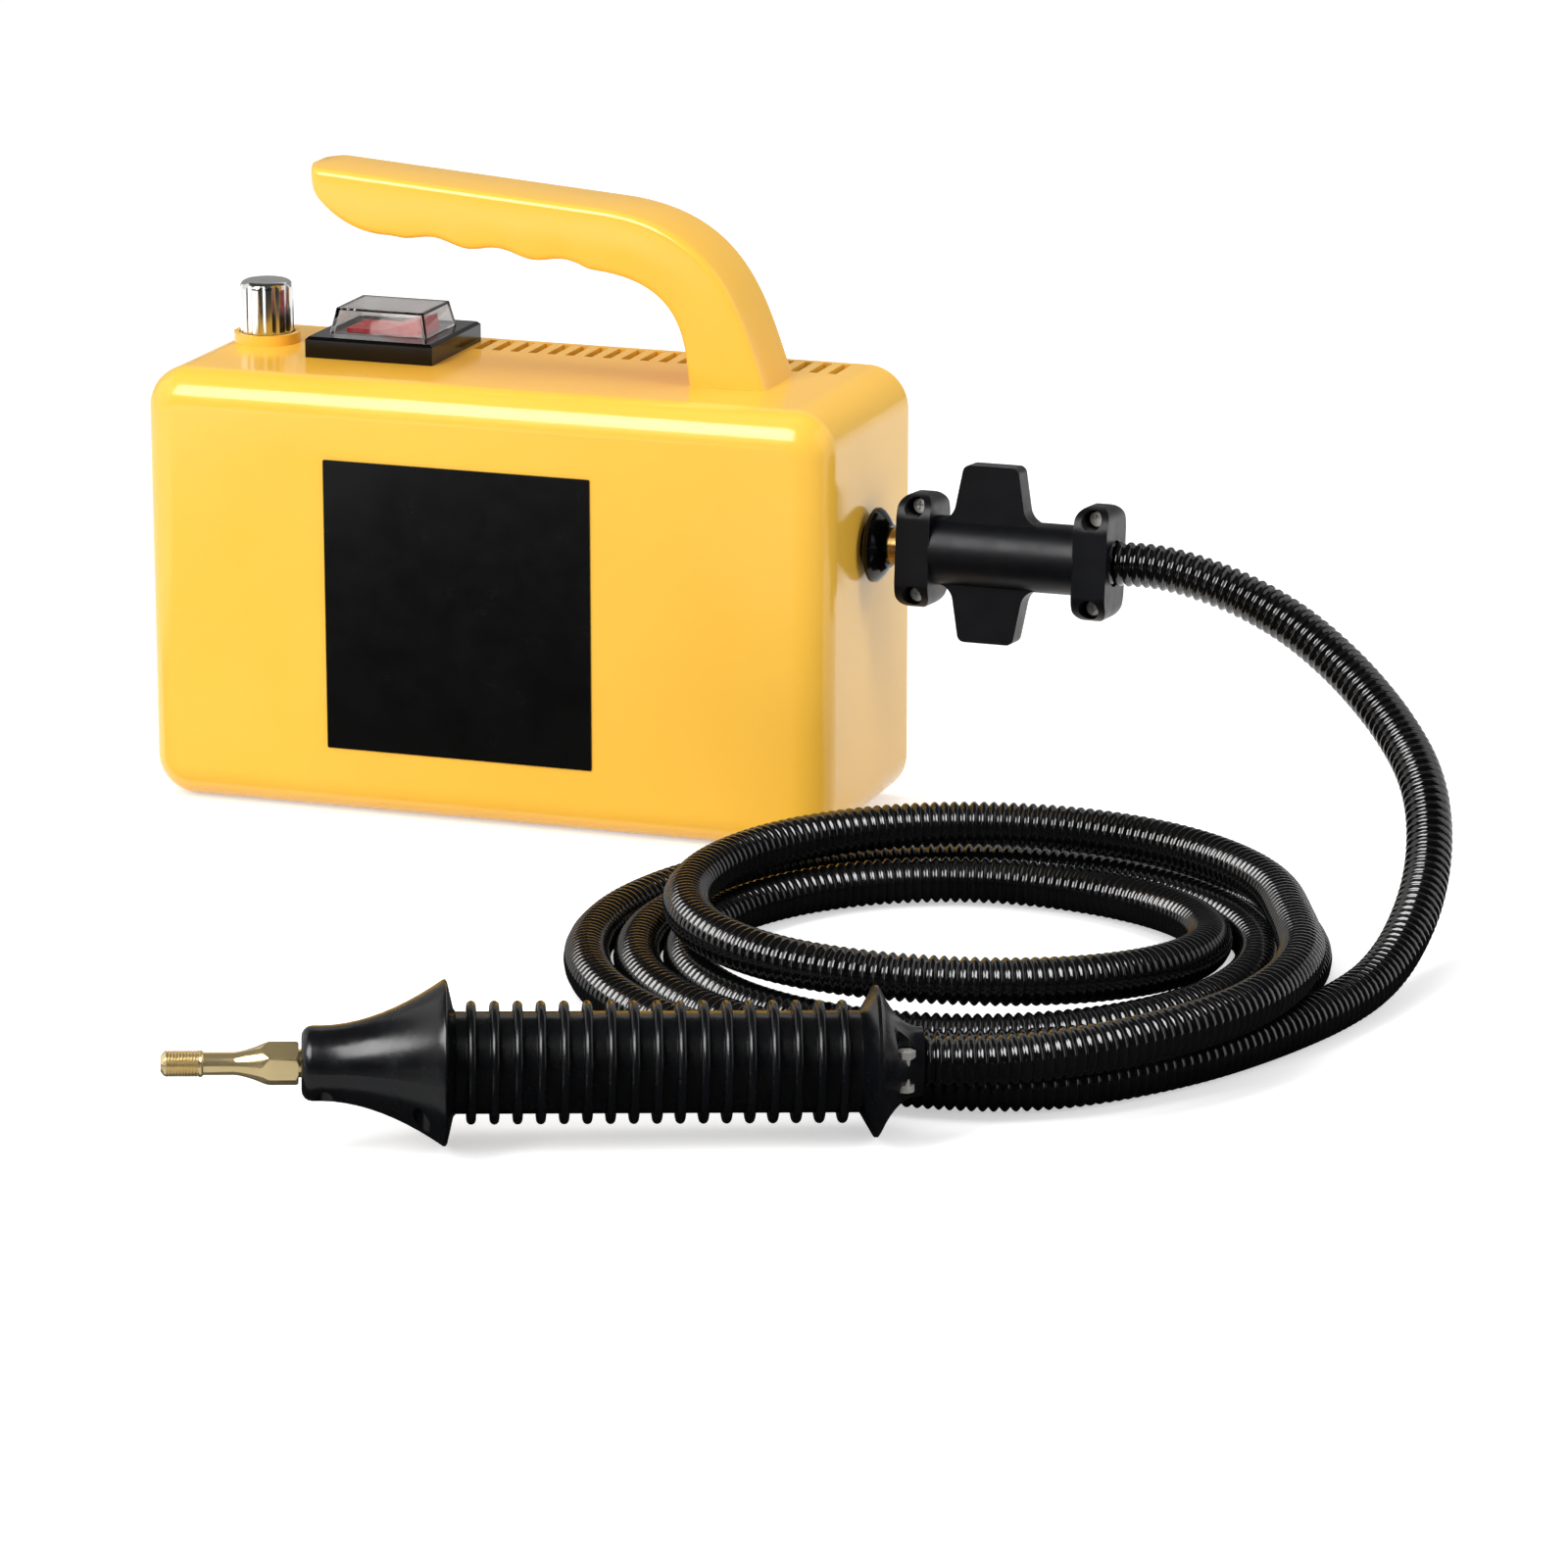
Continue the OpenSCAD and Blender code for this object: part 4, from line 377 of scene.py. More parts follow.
# %% Handle seen from the side
TIP_RINGS, GRIP_RINGS, BEND_RINGS, TIP_FROM_DEG = 33, 97, 49, 5
tip_angle = np.radians(np.linspace(TIP_FROM_DEG, 90, TIP_RINGS)[:-1])
tip_at = GRIP_X0 - (GRIP_X0 - TIP_X) * np.cos(tip_angle)
tip_line = GRIP_TOP[0] + (GRIP_TOP[1] - GRIP_TOP[0]) * (tip_at - GRIP_X0) / (GRIP_X1 - GRIP_X0)
tip_under_z = TIP_Z + (GRIP_UNDER[0] - TIP_Z) * np.sin(tip_angle) ** TIP_POWER
tip_under = np.stack([tip_at, tip_under_z], 1)
tip_top = np.stack([tip_at, tip_line - TIP_TOP_R * (1 - fall(tip_at, TIP_TOP_R))], 1)
t = np.concatenate([np.linspace(0, 1, GRIP_RINGS)[:-1], np.linspace(1, 2, BEND_RINGS)])
grip_under = edge_points(t, GRIP_UNDER, fingers, UNDER_PULLS, np.array([FOOT_X0, CASE_H]),
                         UNDER_FOOT_SLOPE)
grip_top = edge_points(t, GRIP_TOP, plain, TOP_PULLS, np.array([FOOT_X1, CASE_H]),
                       TOP_FOOT_SLOPE)
under, top = np.vstack([tip_under, grip_under]), np.vstack([tip_top, grip_top])
width = GRIP_W * np.concatenate([fall(tip_at, TIP_ROUND), np.ones(len(t))])
print("rings of the handle:", len(width))

# %% [markdown]
# ### The section of the handle
#
# Each ring of the handle is a rectangle with round corners that stands square
# between the lower and the upper edge. Its corner radius stays just below half
# its smaller side, so the rings get rounder as the tip closes.

# %% Handle surface
CORNER_STEPS, SHARP_DEG, FLAT_LEFT = 7, 40, 0.02
height = np.linalg.norm(top - under, axis=1)
rising = (top - under) / height[:, None]
corner = np.minimum(GRIP_R, np.minimum(height, width) / 2 - FLAT_LEFT)[:, None]
quarter = np.repeat(np.arange(4), CORNER_STEPS)
turn_at = np.radians(90 * quarter + np.tile(np.linspace(0, 90, CORNER_STEPS), 4))
side_x, side_z = np.where(quarter % 3 == 0, 1, -1), np.where(quarter < 2, 1, -1)
across = side_x * (width[:, None] / 2 - corner) + corner * np.cos(turn_at)
upward = side_z * (height[:, None] / 2 - corner) + corner * np.sin(turn_at)
middle = (under + top) / 2
handle_grid = np.stack([
    middle[:, :1] + upward * rising[:, :1],
    HANDLE_Y + across,
    middle[:, 1:] + upward * rising[:, 1:],
], 2)
caps = [np.repeat(handle_grid[k].mean(0)[None, None], len(turn_at), 1) for k in (0, -1)]
handle_grid = np.vstack([caps[0], handle_grid, caps[1]])
handle = mesh_from("carrying_handle", handle_grid.reshape(-1, 3) * MM,
                   grid_faces(len(handle_grid), len(turn_at)))
handle.data.set_sharp_from_angle(angle=math.radians(SHARP_DEG))
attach(handle, "unit")
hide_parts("handle")

# %% [markdown]
# ## The brass nozzle
#
# The nozzle is turned and milled from one bar: a hexagon for the spanner, a
# concave cone, a slim stem and a fine thread at the tip for brushes. The solid
# has a plain cylinder for the thread. A screw modifier could wind the thread
# and a boolean could cut the flats, but the seams between them would need
# care. Here the whole outside is one grid of rings whose radius depends on the
# place along the axis and on the angle. The rows then run back as the bore.
# Places named U are millimetres along the wand's axis from its wide front rim,
# and AF is the width across the flats.

# %% Nozzle sizes
NOZZLE_U, TIP_U, BORE, SOCKET, SOCKET_U = -42.4, -81.1, 2.0, 4.05, -48.5
HEX_AF, HEX_CHAMFER, STEM_R, NOZZLE_SIDES = 11.2, 0.6, 3.25, 120
CONE_U, CONE_L, CONE_STEPS, CONE_POWER = NOZZLE_U - 8.2, 10.0, 25, 1.5
THREAD_R, THREAD_L, THREAD_PITCH, THREAD_DEPTH = 3.85, 11.5, 0.9, 0.45
THREAD_START, THREAD_FADE, SHOULDER, HEX_SHARP_DEG = 0.7, 1.2, 0.5, 24
NOSE_R, CHAMFER_R = THREAD_R - 1.6, THREAD_R - 0.9
hex_corner = HEX_AF / 2 / math.cos(math.radians(30))
print("nozzle, mm from the wand's front rim:", NOZZLE_U, "to", TIP_U)


# %% Rings on the wand's axis
def on_wand(u, radius):
    """Rings round the wand's axis: place u along it, and one radius for each
    ring, or for each ring and corner."""
    radius = np.reshape(radius, (len(u), -1, 1))
    level = np.array([math.sin(WAND_TURN), -math.cos(WAND_TURN), 0])
    over = np.cross(level, WAND_DIR)
    a = np.linspace(0, 2 * np.pi, NOZZLE_SIDES, endpoint=False)[None, :, None]
    return WAND_AT + u[:, None, None] * WAND_DIR + radius * (np.cos(a) * over + np.sin(a) * level)


# %% Nozzle outline
thread_u = TIP_U + np.arange(THREAD_START, THREAD_L, THREAD_PITCH / 8)
thread_r = np.minimum(THREAD_R, CHAMFER_R + (thread_u - TIP_U - SHOULDER))
cone_t = np.linspace(0, 1, CONE_STEPS)
cone_r = STEM_R + (hex_corner - STEM_R) * cone_t**CONE_POWER
outline = np.vstack([
    [[TIP_U, BORE], [TIP_U, NOSE_R]],
    np.stack([thread_u, thread_r], 1),
    [[TIP_U + THREAD_L, THREAD_R], [TIP_U + THREAD_L + SHOULDER, STEM_R]],
    np.stack([CONE_U - CONE_L * (1 - cone_t), cone_r], 1),
    [[NOZZLE_U - HEX_CHAMFER, hex_corner],
     [NOZZLE_U - HEX_CHAMFER / 2, hex_corner - HEX_CHAMFER / 2],
     [NOZZLE_U, hex_corner - HEX_CHAMFER]],
    [[NOZZLE_U, SOCKET], [SOCKET_U, SOCKET], [SOCKET_U, BORE]],
])
print("rings of the nozzle:", len(outline))

# %% [markdown]
# ### Hexagon and thread
#
# A spanner's hexagon is what is left when flats are milled on a round bar, so
# it is the smaller of the round and the flat. A thread is a groove that moves
# one pitch along while it goes once round. Both then depend only on the place
# along the axis and the angle, and fit on the one grid.

# %% Nozzle surface
angle = np.arange(NOZZLE_SIDES) * 2 * np.pi / NOZZLE_SIDES
flat = HEX_AF / 2 / np.cos(np.mod(angle, np.pi / 3) - np.pi / 6)
phase = np.mod(outline[:, :1] / THREAD_PITCH - angle / (2 * np.pi), 1)
from_start = outline[:, :1] - TIP_U - THREAD_START
to_end = TIP_U + THREAD_L - outline[:, :1]
in_thread = ease(from_start / THREAD_FADE) * ease(to_end / THREAD_FADE)
groove = THREAD_DEPTH * np.abs(2 * phase - 1) * in_thread
nozzle_r = np.minimum(outline[:, 1:], flat) - groove
nozzle = mesh_from("brass_nozzle", on_wand(outline[:, 0], nozzle_r).reshape(-1, 3) * MM,
                   grid_faces(len(outline), NOZZLE_SIDES, closed=True))
nozzle.data.set_sharp_from_angle(angle=math.radians(HEX_SHARP_DEG))
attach(nozzle, "nozzle")
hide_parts("nozzle")

# %% [markdown]
# ## Floor, sky and lamps
#
# The object stands on a plain white floor under a plain white sky. The floor
# is ordinary matt white; where nothing shades it, a little glow seen only by
# the camera, by mirrors and through glass lifts it to paper white, and the
# soft shadow stays. Stronger lamps would whiten the floor too, but they would
# also bleach the yellow case.

# %% Shader helpers
def linear(code):
    """An sRGB hex colour as linear red, green, blue and alpha."""
    c = np.array([int(code[k : k + 2], 16) for k in (1, 3, 5)]) / 255
    rgb = np.where(c <= 0.04045, c / 12.92, ((c + 0.055) / 1.055) ** 2.4)
    return (*rgb.tolist(), 1.0)


def add(tree, kind, values=None, links=None, **fields):
    """Adds one node: fields are its own settings, values go on its sockets,
    and links join its sockets to outputs of nodes that are there."""
    made = tree.nodes.new(kind)
    for key, value in fields.items():
        setattr(made, key, value)
    for key, value in (values or {}).items():
        made.inputs[key].default_value = value
    for key, output in (links or {}).items():
        tree.links.new(output, made.inputs[key])
    return made


def blank_material(name):
    """A new material, and its node tree with nothing in it."""
    material = bpy.data.materials.new(name)
    material.use_nodes = True
    material.node_tree.nodes.clear()
    return material, material.node_tree


# %% What the camera, mirrors and glass see
FROM_MIN, FROM_MAX, TO_MIN, TO_MAX = 1, 2, 3, 4  # the sockets of a map range node


def seen_ray(tree):
    """1 for camera, glossy and transmission rays, 0 for the light itself."""
    path = add(tree, "ShaderNodeLightPath").outputs
    eye_or_mirror = add(tree, "ShaderNodeMath", None,
                        {0: path["Is Camera Ray"], 1: path["Is Glossy Ray"]}, operation="MAXIMUM")
    any_seen = add(tree, "ShaderNodeMath", None,
                   {0: eye_or_mirror.outputs[0], 1: path["Is Transmission Ray"]}, operation="MAXIMUM")
    return any_seen.outputs[0]


def level_sheet(name, x, y, z):
    """A level rectangle from x[0], y[0] to x[1], y[1] at height z."""
    ring = np.array([[x[0], y[1], z], [x[0], y[0], z], [x[1], y[0], z], [x[1], y[1], z]])
    return mesh_from(name, ring, np.array([[0, 1, 2, 3]]), smooth=False)


# %% Floor
FLOOR_REACH, FLOOR_LEVEL, FLOOR_GREY, FLOOR_LIFT = (-6, 6), -0.0006, 0.8, 0.5
floor_paint, tree = blank_material("matt_white_floor")
matt = add(tree, "ShaderNodeBsdfDiffuse", {"Color": (FLOOR_GREY, FLOOR_GREY, FLOOR_GREY, 1)})
lift = add(tree, "ShaderNodeMath", {1: FLOOR_LIFT}, {0: seen_ray(tree)}, operation="MULTIPLY")
glow = add(tree, "ShaderNodeEmission", {"Color": (1, 1, 1, 1)}, {"Strength": lift.outputs[0]})
both = add(tree, "ShaderNodeAddShader", None, {0: matt.outputs[0], 1: glow.outputs[0]})
add(tree, "ShaderNodeOutputMaterial", None, {"Surface": both.outputs[0]})
floor = level_sheet("studio_floor", FLOOR_REACH, FLOOR_REACH, FLOOR_LEVEL)
floor.data.materials.append(floor_paint)

# %% Sky
SKY_LIGHT, SKY_SEEN = 0.5, 1.0
world = bpy.data.worlds.new("studio")
bpy.context.scene.world = world
world.use_nodes = True
tree = world.node_tree
tree.nodes.clear()
level = add(tree, "ShaderNodeMapRange", {TO_MIN: SKY_LIGHT, TO_MAX: SKY_SEEN}, {0: seen_ray(tree)})
sky = add(tree, "ShaderNodeBackground", {"Color": (1, 1, 1, 1)}, {"Strength": level.outputs[0]})
add(tree, "ShaderNodeOutputWorld", None, {"Surface": sky.outputs[0]})
print("sky as light:", SKY_LIGHT, "and as seen:", SKY_SEEN)

# %% [markdown]
# ### Lamps
#
# Three large area lamps light the object as a photographer's softboxes do: one
# at the front, one overhead and one at the right. A large lamp gives a soft
# shadow. Reflections don't see these lamps, because their bright shapes would
# turn the tops of the black parts grey. The highlights come from a white screen
# that only reflections see, which is made in the next step.

# %% Lamps
def lamp(name, place, target, size, power):
    """An area lamp at place that looks at target; reflections don't see it."""
    data = bpy.data.lights.new(name, "AREA")
    data.shape = "RECTANGLE"
    data.size, data.size_y = size
    data.energy = power
    made = bpy.data.objects.new(name, data)
    aim = Vector(target) - Vector(place)
    made.matrix_world = Matrix.Translation(place) @ aim.to_track_quat("-Z", "Y").to_matrix().to_4x4()
    made.visible_glossy = False
    bpy.context.scene.collection.objects.link(made)
    print(name, "watts:", power)


lamp("front_softbox", (-0.52, -1.51, 1.1), (0.0, 0.0, 0.1), (0.36, 1.5), 23)
lamp("overhead_softbox", (-0.1, 0.1, 1.8), (0.05, -0.1, 0.05), (1.2, 0.8), 10.5)
lamp("right_softbox", (1.9, -0.5, 0.9), (0.1, -0.1, 0.08), (0.5, 1.2), 10)


# %% [markdown]
# ## Cards that only reflections see
#
# Glossy black plastic shows what stands round it, so in a white room it looks
# grey. So the reflections are painted here with sheets that only reflections
# see: dark sheets round the camera, overhead and on the floor in front, and a
# grey one behind the object, paint dark reflections. A glowing white screen
# paints the bright lines on the edges as painted highlights, and a small one
# lies before the brass nozzle. The screens light nothing. The floor stays white
# at the left, where the chrome knob looks for something bright. The sheets
# neither shade the object nor stand in the picture.

# %% Cover of a card
def reflected_only(sheet, grey=0.0, glow=0.0):
    """Covers a sheet in matt grey or a glow and hides it from all but
    reflections, so that it paints only dark reflections or highlights."""
    cover, tree = blank_material(sheet.name + "_cover")
    reflected_matt = add(tree, "ShaderNodeBsdfDiffuse", {"Color": (grey, grey, grey, 1)})
    painted_glow = add(tree, "ShaderNodeEmission", {"Strength": glow})
    both = add(tree, "ShaderNodeAddShader", None, {0: reflected_matt.outputs[0], 1: painted_glow.outputs[0]})
    add(tree, "ShaderNodeOutputMaterial", None, {"Surface": both.outputs[0]})
    sheet.data.materials.append(cover)
    sheet.visible_camera = sheet.visible_diffuse = sheet.visible_shadow = False
    sheet.visible_transmission = False


def curved_sheet(name, radius, middle_deg, half_deg, low, high, steps=24):
    """Part of an upright cylinder round the object, from low to high."""
    a = np.radians(np.linspace(middle_deg - half_deg, middle_deg + half_deg, steps + 1))
    foot = np.stack([radius * np.cos(a), radius * np.sin(a), np.full(steps + 1, low)], 1)
    grid = np.concatenate([foot, (foot + [0, 0, high - low])[::-1]])
    k = np.arange(steps)
    return mesh_from(name, grid, np.stack([k, k + 1, 2 * steps - k, 2 * steps + 1 - k], 1))


# %% Cards
VIEW_DEG = math.degrees(math.atan2(back[1], back[0]))
DARK_FLOOR_SHEET_LEVEL, NOZZLE_HIGHLIGHT_LEVEL, CEILING = -0.0003, -0.0001, 3.2
# The dark and grey sheets paint dark reflections where the white room would show.
reflected_only(curved_sheet("painted_dark_reflection_surround", 2.9, VIEW_DEG, 62, 0.0, CEILING), grey=0.02)
reflected_only(curved_sheet("painted_grey_reflection_backing", 1.6, VIEW_DEG + 180, 50, 0.12, 1.3), grey=0.35)
# The glowing screen paints the highlights; it lights nothing.
reflected_only(curved_sheet("painted_highlight_screen", 1.9, -180 - VIEW_DEG, 24, 1.0, 3.1), glow=11.0)
reflected_only(level_sheet("painted_dark_reflection_floor", (-0.32, 1.8), (-2.9, -0.044), DARK_FLOOR_SHEET_LEVEL),
               grey=0.03)
reflected_only(level_sheet("painted_dark_reflection_ceiling", (-3.0, 3.0), (-3.0, 3.0), CEILING), grey=0.1)
# A faint glowing sheet paints a highlight on the brass nozzle.
reflected_only(level_sheet("painted_nozzle_highlight", (-0.06, 0.12), (-0.5, -0.385), NOZZLE_HIGHLIGHT_LEVEL),
               glow=0.6)

# %% [markdown]
# ## Finishes
#
# Most parts are moulded or cast, and share the same three traits: the colour
# drifts a little over the part, the gloss is not quite even, and the skin has
# a fine grain from the mould. One function builds such a finish from real
# sizes: how large a patch of colour is, how wide the grain is and how deep.
# Patterns read Object coordinates, whose unit is a metre, so a pattern that
# repeats every d millimetres has the scale 1000 / d.

# %% Skin that every finish ends in
COLOUR_A, COLOUR_B, COLOUR_OUT = 6, 7, 2  # the colour sockets of a mix node
HAZE_LOW, HAZE_HIGH, MICRON = 0.3, 0.7, 1e-6


def skin(tree, colours, share, gloss, haze, relief, depth_um, sockets):
    """Joins three patterns to one shader: share mixes the two colours, haze
    spreads the roughness over gloss, and relief is depth_um deep. sockets go
    straight onto the shader."""
    ends = {COLOUR_A: linear(colours[0]), COLOUR_B: linear(colours[1])}
    shade = add(tree, "ShaderNodeMix", ends, {0: share}, data_type="RGBA")
    spread = {FROM_MIN: HAZE_LOW, FROM_MAX: HAZE_HIGH, TO_MIN: gloss[0], TO_MAX: gloss[1]}
    rough = add(tree, "ShaderNodeMapRange", spread, {0: haze})
    bump = add(tree, "ShaderNodeBump", {"Strength": 1.0, "Distance": depth_um * MICRON},
               {"Height": relief})
    shader = add(tree, "ShaderNodeBsdfPrincipled", sockets, {
        "Base Color": shade.outputs[COLOUR_OUT], "Roughness": rough.outputs[0], "Normal": bump.outputs[0],
    })
    add(tree, "ShaderNodeOutputMaterial", None, {"Surface": shader.outputs[0]})


# %% Moulded finish
PATCH_LOW, PATCH_HIGH, WEAR_FINER = 0.35, 0.65, 3.5


def moulded(name, colour, drift, patch_mm, gloss, grain_mm, grain_um, sockets=None):
    """A moulded or cast skin. colour and drift are the two ends of its colour,
    in patches patch_mm wide, gloss is the lowest and highest roughness, and the
    grain is grain_mm wide and grain_um deep."""
    material, tree = blank_material(name)
    where = {"Vector": add(tree, "ShaderNodeTexCoord").outputs["Object"]}
    patch = add(tree, "ShaderNodeTexNoise", {"Scale": 1000 / patch_mm, "Detail": 3.0}, where)
    blend = add(tree, "ShaderNodeMapRange", {FROM_MIN: PATCH_LOW, FROM_MAX: PATCH_HIGH},
                {0: patch.outputs["Fac"]})
    wear = add(tree, "ShaderNodeTexNoise", {"Scale": 1000 * WEAR_FINER / patch_mm, "Detail": 4.0}, where)
    grain = add(tree, "ShaderNodeTexNoise", {"Scale": 1000 / grain_mm, "Detail": 2.0}, where)
    skin(tree, (colour, drift), blend.outputs[0], gloss, wear.outputs["Fac"],
         grain.outputs["Fac"], grain_um, sockets)
    print(name, colour, "roughness", gloss)
    return material


# %% [markdown]
# ### The plastics
#
# The case and handle are glossy ABS: bright, evenly coloured, with the
# faint orange peel of a polished mould. The wand and the gland are black
# polypropylene with a soft gloss, and the coupling's clamp is a duller one
# with a trace of blue. The hose is nylon, which comes out of its mould very
# glossy. The rocker is a clear red moulding, and its faint glow is painted
# light: an emission that stands in for the light that passes through it. Its
# frame is a hard, shiny black. The front plate is a printed film. The tubes,
# the wires and the seal are hidden inside.

# %% Plastics
abs_yellow = moulded("glossy_yellow_abs", "#FDC54B", "#FAC044", 90, (0.14, 0.2), 1.6, 4)
pp_black = moulded("glossy_black_polypropylene", "#07080A", "#0B0C0F", 25, (0.2, 0.3), 0.9, 6,
                   {"Specular IOR Level": 0.42})
nylon_black = moulded("glossy_black_nylon", "#060607", "#0A0A0B", 30, (0.1, 0.16), 1.2, 2,
                      {"Specular IOR Level": 0.75})
pp_satin = moulded("satin_black_clamp_polypropylene", "#06070B", "#0A0B10", 25, (0.34, 0.44), 0.9, 8,
                   {"Specular IOR Level": 0.22})
switch_black = moulded("glossy_black_abs", "#050506", "#080809", 20, (0.12, 0.18), 1.0, 3,
                       {"Specular IOR Level": 0.3})
# The rocker's emission is a painted glow: it stands in for light that passes through the red moulding.
red_lens = moulded("clear_red_polycarbonate_painted_glow", "#C00A14", "#A80810", 9, (0.2, 0.3), 1.0, 2,
                   {"Emission Color": linear("#D01420"), "Emission Strength": 0.35,
                    "Specular IOR Level": 0.12})
phenolic = moulded("dark_phenolic", "#1B1B1E", "#232326", 12, (0.5, 0.65), 0.5, 12)
glass_nylon = moulded("glass_filled_nylon", "#D2CBBB", "#C6BEAD", 10, (0.45, 0.6), 0.4, 12)
silicone = moulded("translucent_silicone_tube", "#DCDCD6", "#D0D0C8", 14, (0.35, 0.5), 1.0, 6,
                   {"Transmission Weight": 0.35, "IOR": 1.41})
wire_pvc = moulded("pvc_wire_sleeve", "#2A2D36", "#23262E", 8, (0.35, 0.5), 0.5, 5)
seal_rubber = moulded("red_brown_seal_rubber", "#5A1F16", "#4C1810", 5, (0.55, 0.7), 0.3, 8)
label_film = moulded("black_printed_film", "#060606", "#0A0A0A", 30, (0.2, 0.28), 2.0, 4,
                     {"Specular IOR Level": 0.35})

# %% [markdown]
# ### The metals, board and ceramics
#
# The screws and most metal inside are zinc-plated, and a thin cloudy film
# dulls them: a share of the light is scattered as on paint. The boiler is
# die-cast and still has the rough skin of its mould. The coil of the pump is
# enamelled copper, and the heater's terminals sit in fired ceramic.

# %% Metals and ceramics
METAL = {"Metallic": 1.0}
zinc = moulded("zinc_plated_steel", "#DAD7D0", "#CAC7C0", 4, (0.3, 0.45), 0.3, 5, {"Metallic": 0.7})
cast_alloy = moulded("die_cast_aluminium", "#A9ACB0", "#989B9F", 12, (0.45, 0.62), 0.8, 45, METAL)
copper = moulded("enamelled_copper_wire", "#8A4A26", "#76391A", 3, (0.28, 0.4), 0.5, 60, METAL)
ceramic = moulded("fired_ceramic", "#DAD4C4", "#CCC5B3", 6, (0.5, 0.65), 0.4, 15)
board = moulded("coated_circuit_board", "#1E6B3A", "#185A30", 5, (0.25, 0.4), 0.6, 10)

# %% [markdown]
# ### Chrome, brass and the clear hood
#
# The knob is a chromed moulding: almost a mirror, with only a hint of haze.
# The hood over the switch is clear soft vinyl, a little grey, with a skin that
# is never quite flat. The nozzle and fittings are turned brass, and a lathe
# leaves fine rings square to the axis. The rings could be a stretched noise
# with its pattern turned by a mapping node. It is plainer to measure the
# distance along the axis, which is one dot product, and to let the noise
# depend on that alone. The rings are drawn 0.35 mm wide, some times coarser
# than a real lathe leaves them, so that they show.

# %% Chrome and clear vinyl
chrome = moulded("chromed_moulding", "#E2E2E0", "#D8D8D6", 15, (0.12, 0.2), 2.0, 2, METAL)
clear_vinyl = moulded("clear_soft_vinyl", "#D2CFCC", "#C8C5C2", 12, (0.01, 0.04), 3.0, 6,
                      {"Transmission Weight": 1.0, "IOR": 1.45})


# %% Turned metal
RING_MM, PATCH_MM, FILMED_BRASS = 0.35, 6.25, {"Metallic": 0.85}


def turned_metal(name, colour, drift, axis, gloss, ring_um):
    """Brass with lathe rings: a noise that varies only along the axis. The thin
    film that brass gets in use scatters a little of the light."""
    material, tree = blank_material(name)
    where = add(tree, "ShaderNodeTexCoord").outputs["Object"]
    along_axis = add(tree, "ShaderNodeVectorMath", {1: axis}, {0: where}, operation="DOT_PRODUCT")
    rings = add(tree, "ShaderNodeTexNoise", {"Scale": 1000 / RING_MM, "Detail": 2.0},
                {"W": along_axis.outputs["Value"]}, noise_dimensions="1D")
    patch = add(tree, "ShaderNodeTexNoise", {"Scale": 1000 / PATCH_MM, "Detail": 3.0}, {"Vector": where})
    share = patch.outputs["Fac"]
    skin(tree, (colour, drift), share, gloss, share, rings.outputs["Fac"], ring_um, FILMED_BRASS)
    print(name, colour, "roughness", gloss)
    return material


brass_wand = turned_metal("turned_brass", "#F0DAA6", "#E2CA92", tuple(WAND_DIR), (0.14, 0.22), 3)
brass_outlet = turned_metal("turned_brass_fitting", "#A98A55", "#957645", (1, 0, 0), (0.16, 0.3), 4)
brass_rear = turned_metal("turned_brass_inlet", "#D6B070", "#C79F5A", (0, 1, 0), (0.16, 0.3), 4)

# %% [markdown]
# ## Dressing the solids
#
# Each solid keeps its shape and gets its finish. The solids come with hard
# edges, and no moulding has those: a small rounding catches a thin line of
# light along every edge. A weld joins the loose triangles, a bevel rounds what
# is sharper than 35 degrees, and weighted normals keep the flats flat. The
# rear cover, and pieces whose edges are hidden or too fine to round, keep the
# solid's own edges.

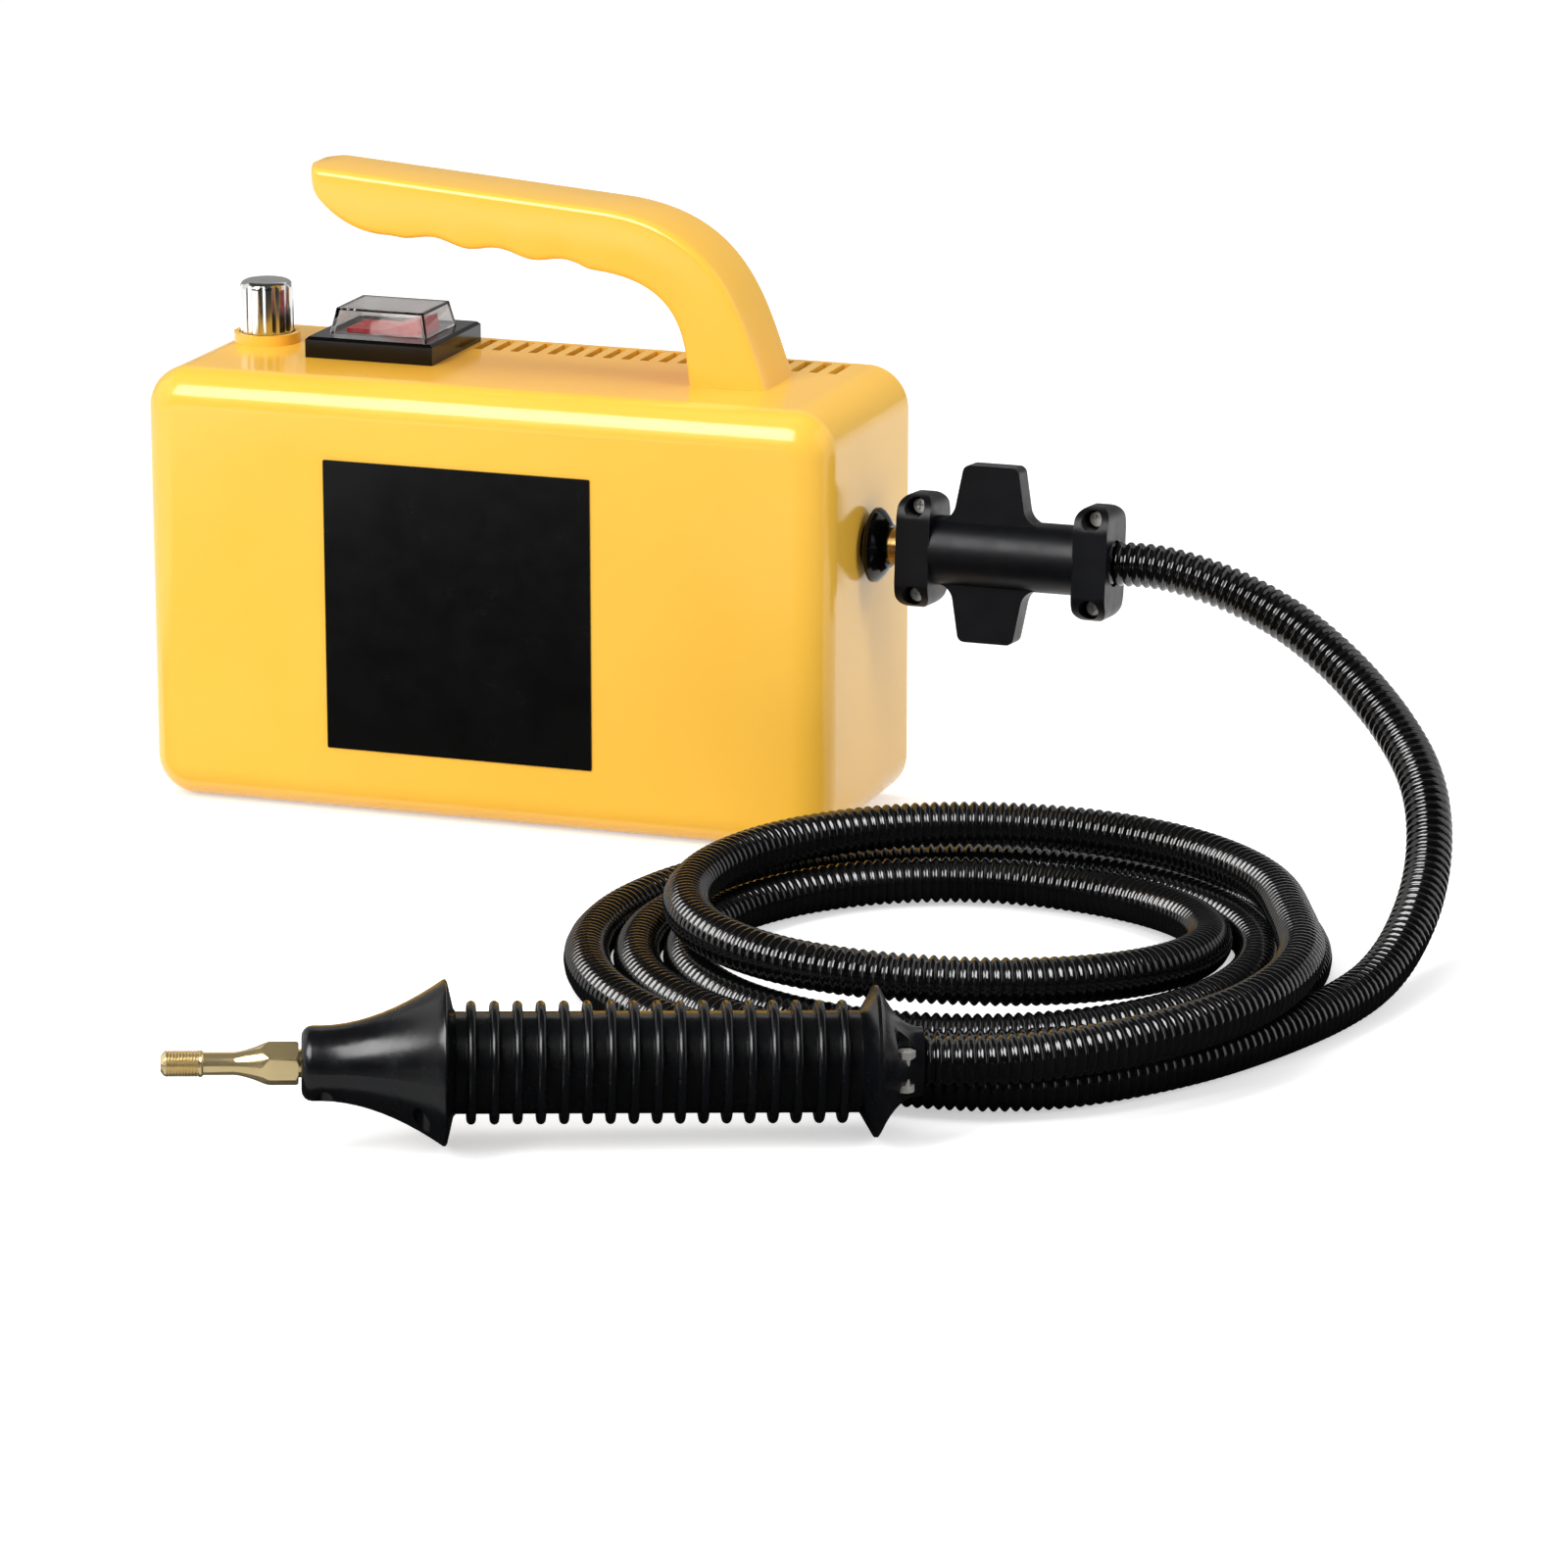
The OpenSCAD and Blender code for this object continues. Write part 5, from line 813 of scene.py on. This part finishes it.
# %% Finish of each solid
FINISH = {
    "front_shell": abs_yellow, "rear_cover": abs_yellow, "handle": abs_yellow,
    "cover_screws": zinc, "handle_screws": zinc, "label_plate": label_film,
    "switch_frame": switch_black, "switch_body": phenolic, "switch_terminals": brass_rear,
    "switch_rocker": red_lens, "switch_hood": clear_vinyl,
    "control_knob": chrome, "control_shaft": zinc, "control_body": zinc, "control_nut": zinc,
    "control_board": board, "board_parts": phenolic,
    "boiler": cast_alloy, "heater_terminals": ceramic, "boiler_bracket": zinc,
    "bracket_screws": zinc, "thermostat": ceramic, "thermal_fuse": ceramic,
    "pump_body": glass_nylon, "pump_cap": glass_nylon, "pump_coil": copper, "pump_yoke": zinc,
    "pump_bracket": zinc, "pump_plunger": zinc, "pump_spring": zinc,
    "water_inlet": brass_rear, "inlet_nut": brass_rear, "cable_gland": pp_black,
    "gland_nut": pp_black, "suction_tube": silicone, "feed_tube": silicone,
    "steam_tube": silicone, "wiring": wire_pvc,
    "outlet_fitting": brass_outlet, "outlet_collar": switch_black, "seal_washer": seal_rubber,
    "union_nut": brass_outlet, "coupling_front_half": pp_satin, "coupling_rear_half": pp_satin,
    "coupling_screws": zinc, "hose_tail": brass_outlet,
    "wand_upper_half": pp_black, "wand_lower_half": pp_black, "wand_screws": zinc,
    "wand_nuts": zinc, "wand_tube": brass_wand, "nozzle": brass_wand,
}
for name, material in FINISH.items():
    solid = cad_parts[name]
    solid.data.materials.clear()
    solid.data.materials.append(material)
hose.data.materials.append(nylon_black)
handle.data.materials.append(abs_yellow)
nozzle.data.materials.append(brass_wand)
print("finished solids:", len(FINISH))

# %% Rounded edges
EDGE = {
    "front_shell": 0.4, "label_plate": 0.15, "switch_frame": 0.5,
    "switch_rocker": 0.6, "switch_hood": 0.45, "coupling_front_half": 1.1,
    "coupling_rear_half": 1.1, "control_knob": 0.25, "cable_gland": 0.4,
    "wand_upper_half": 0.3, "wand_lower_half": 0.3, "coupling_screws": 0.15,
}
WELD, EDGE_STEPS, EDGE_DEG = 1e-6, 3, 35


def round_edges(solid, width_mm):
    """Welds the solid's triangles and rounds its sharp edges by width_mm."""
    weld = solid.modifiers.new("weld", "WELD")
    weld.merge_threshold = WELD
    bevel = solid.modifiers.new("bevel", "BEVEL")
    bevel.width, bevel.segments = width_mm * MM, EDGE_STEPS
    bevel.limit_method, bevel.angle_limit = "ANGLE", math.radians(EDGE_DEG)
    solid.modifiers.new("normals", "WEIGHTED_NORMAL")


for name, width_mm in EDGE.items():
    round_edges(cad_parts[name], width_mm)
print("solids with rounded edges:", len(EDGE))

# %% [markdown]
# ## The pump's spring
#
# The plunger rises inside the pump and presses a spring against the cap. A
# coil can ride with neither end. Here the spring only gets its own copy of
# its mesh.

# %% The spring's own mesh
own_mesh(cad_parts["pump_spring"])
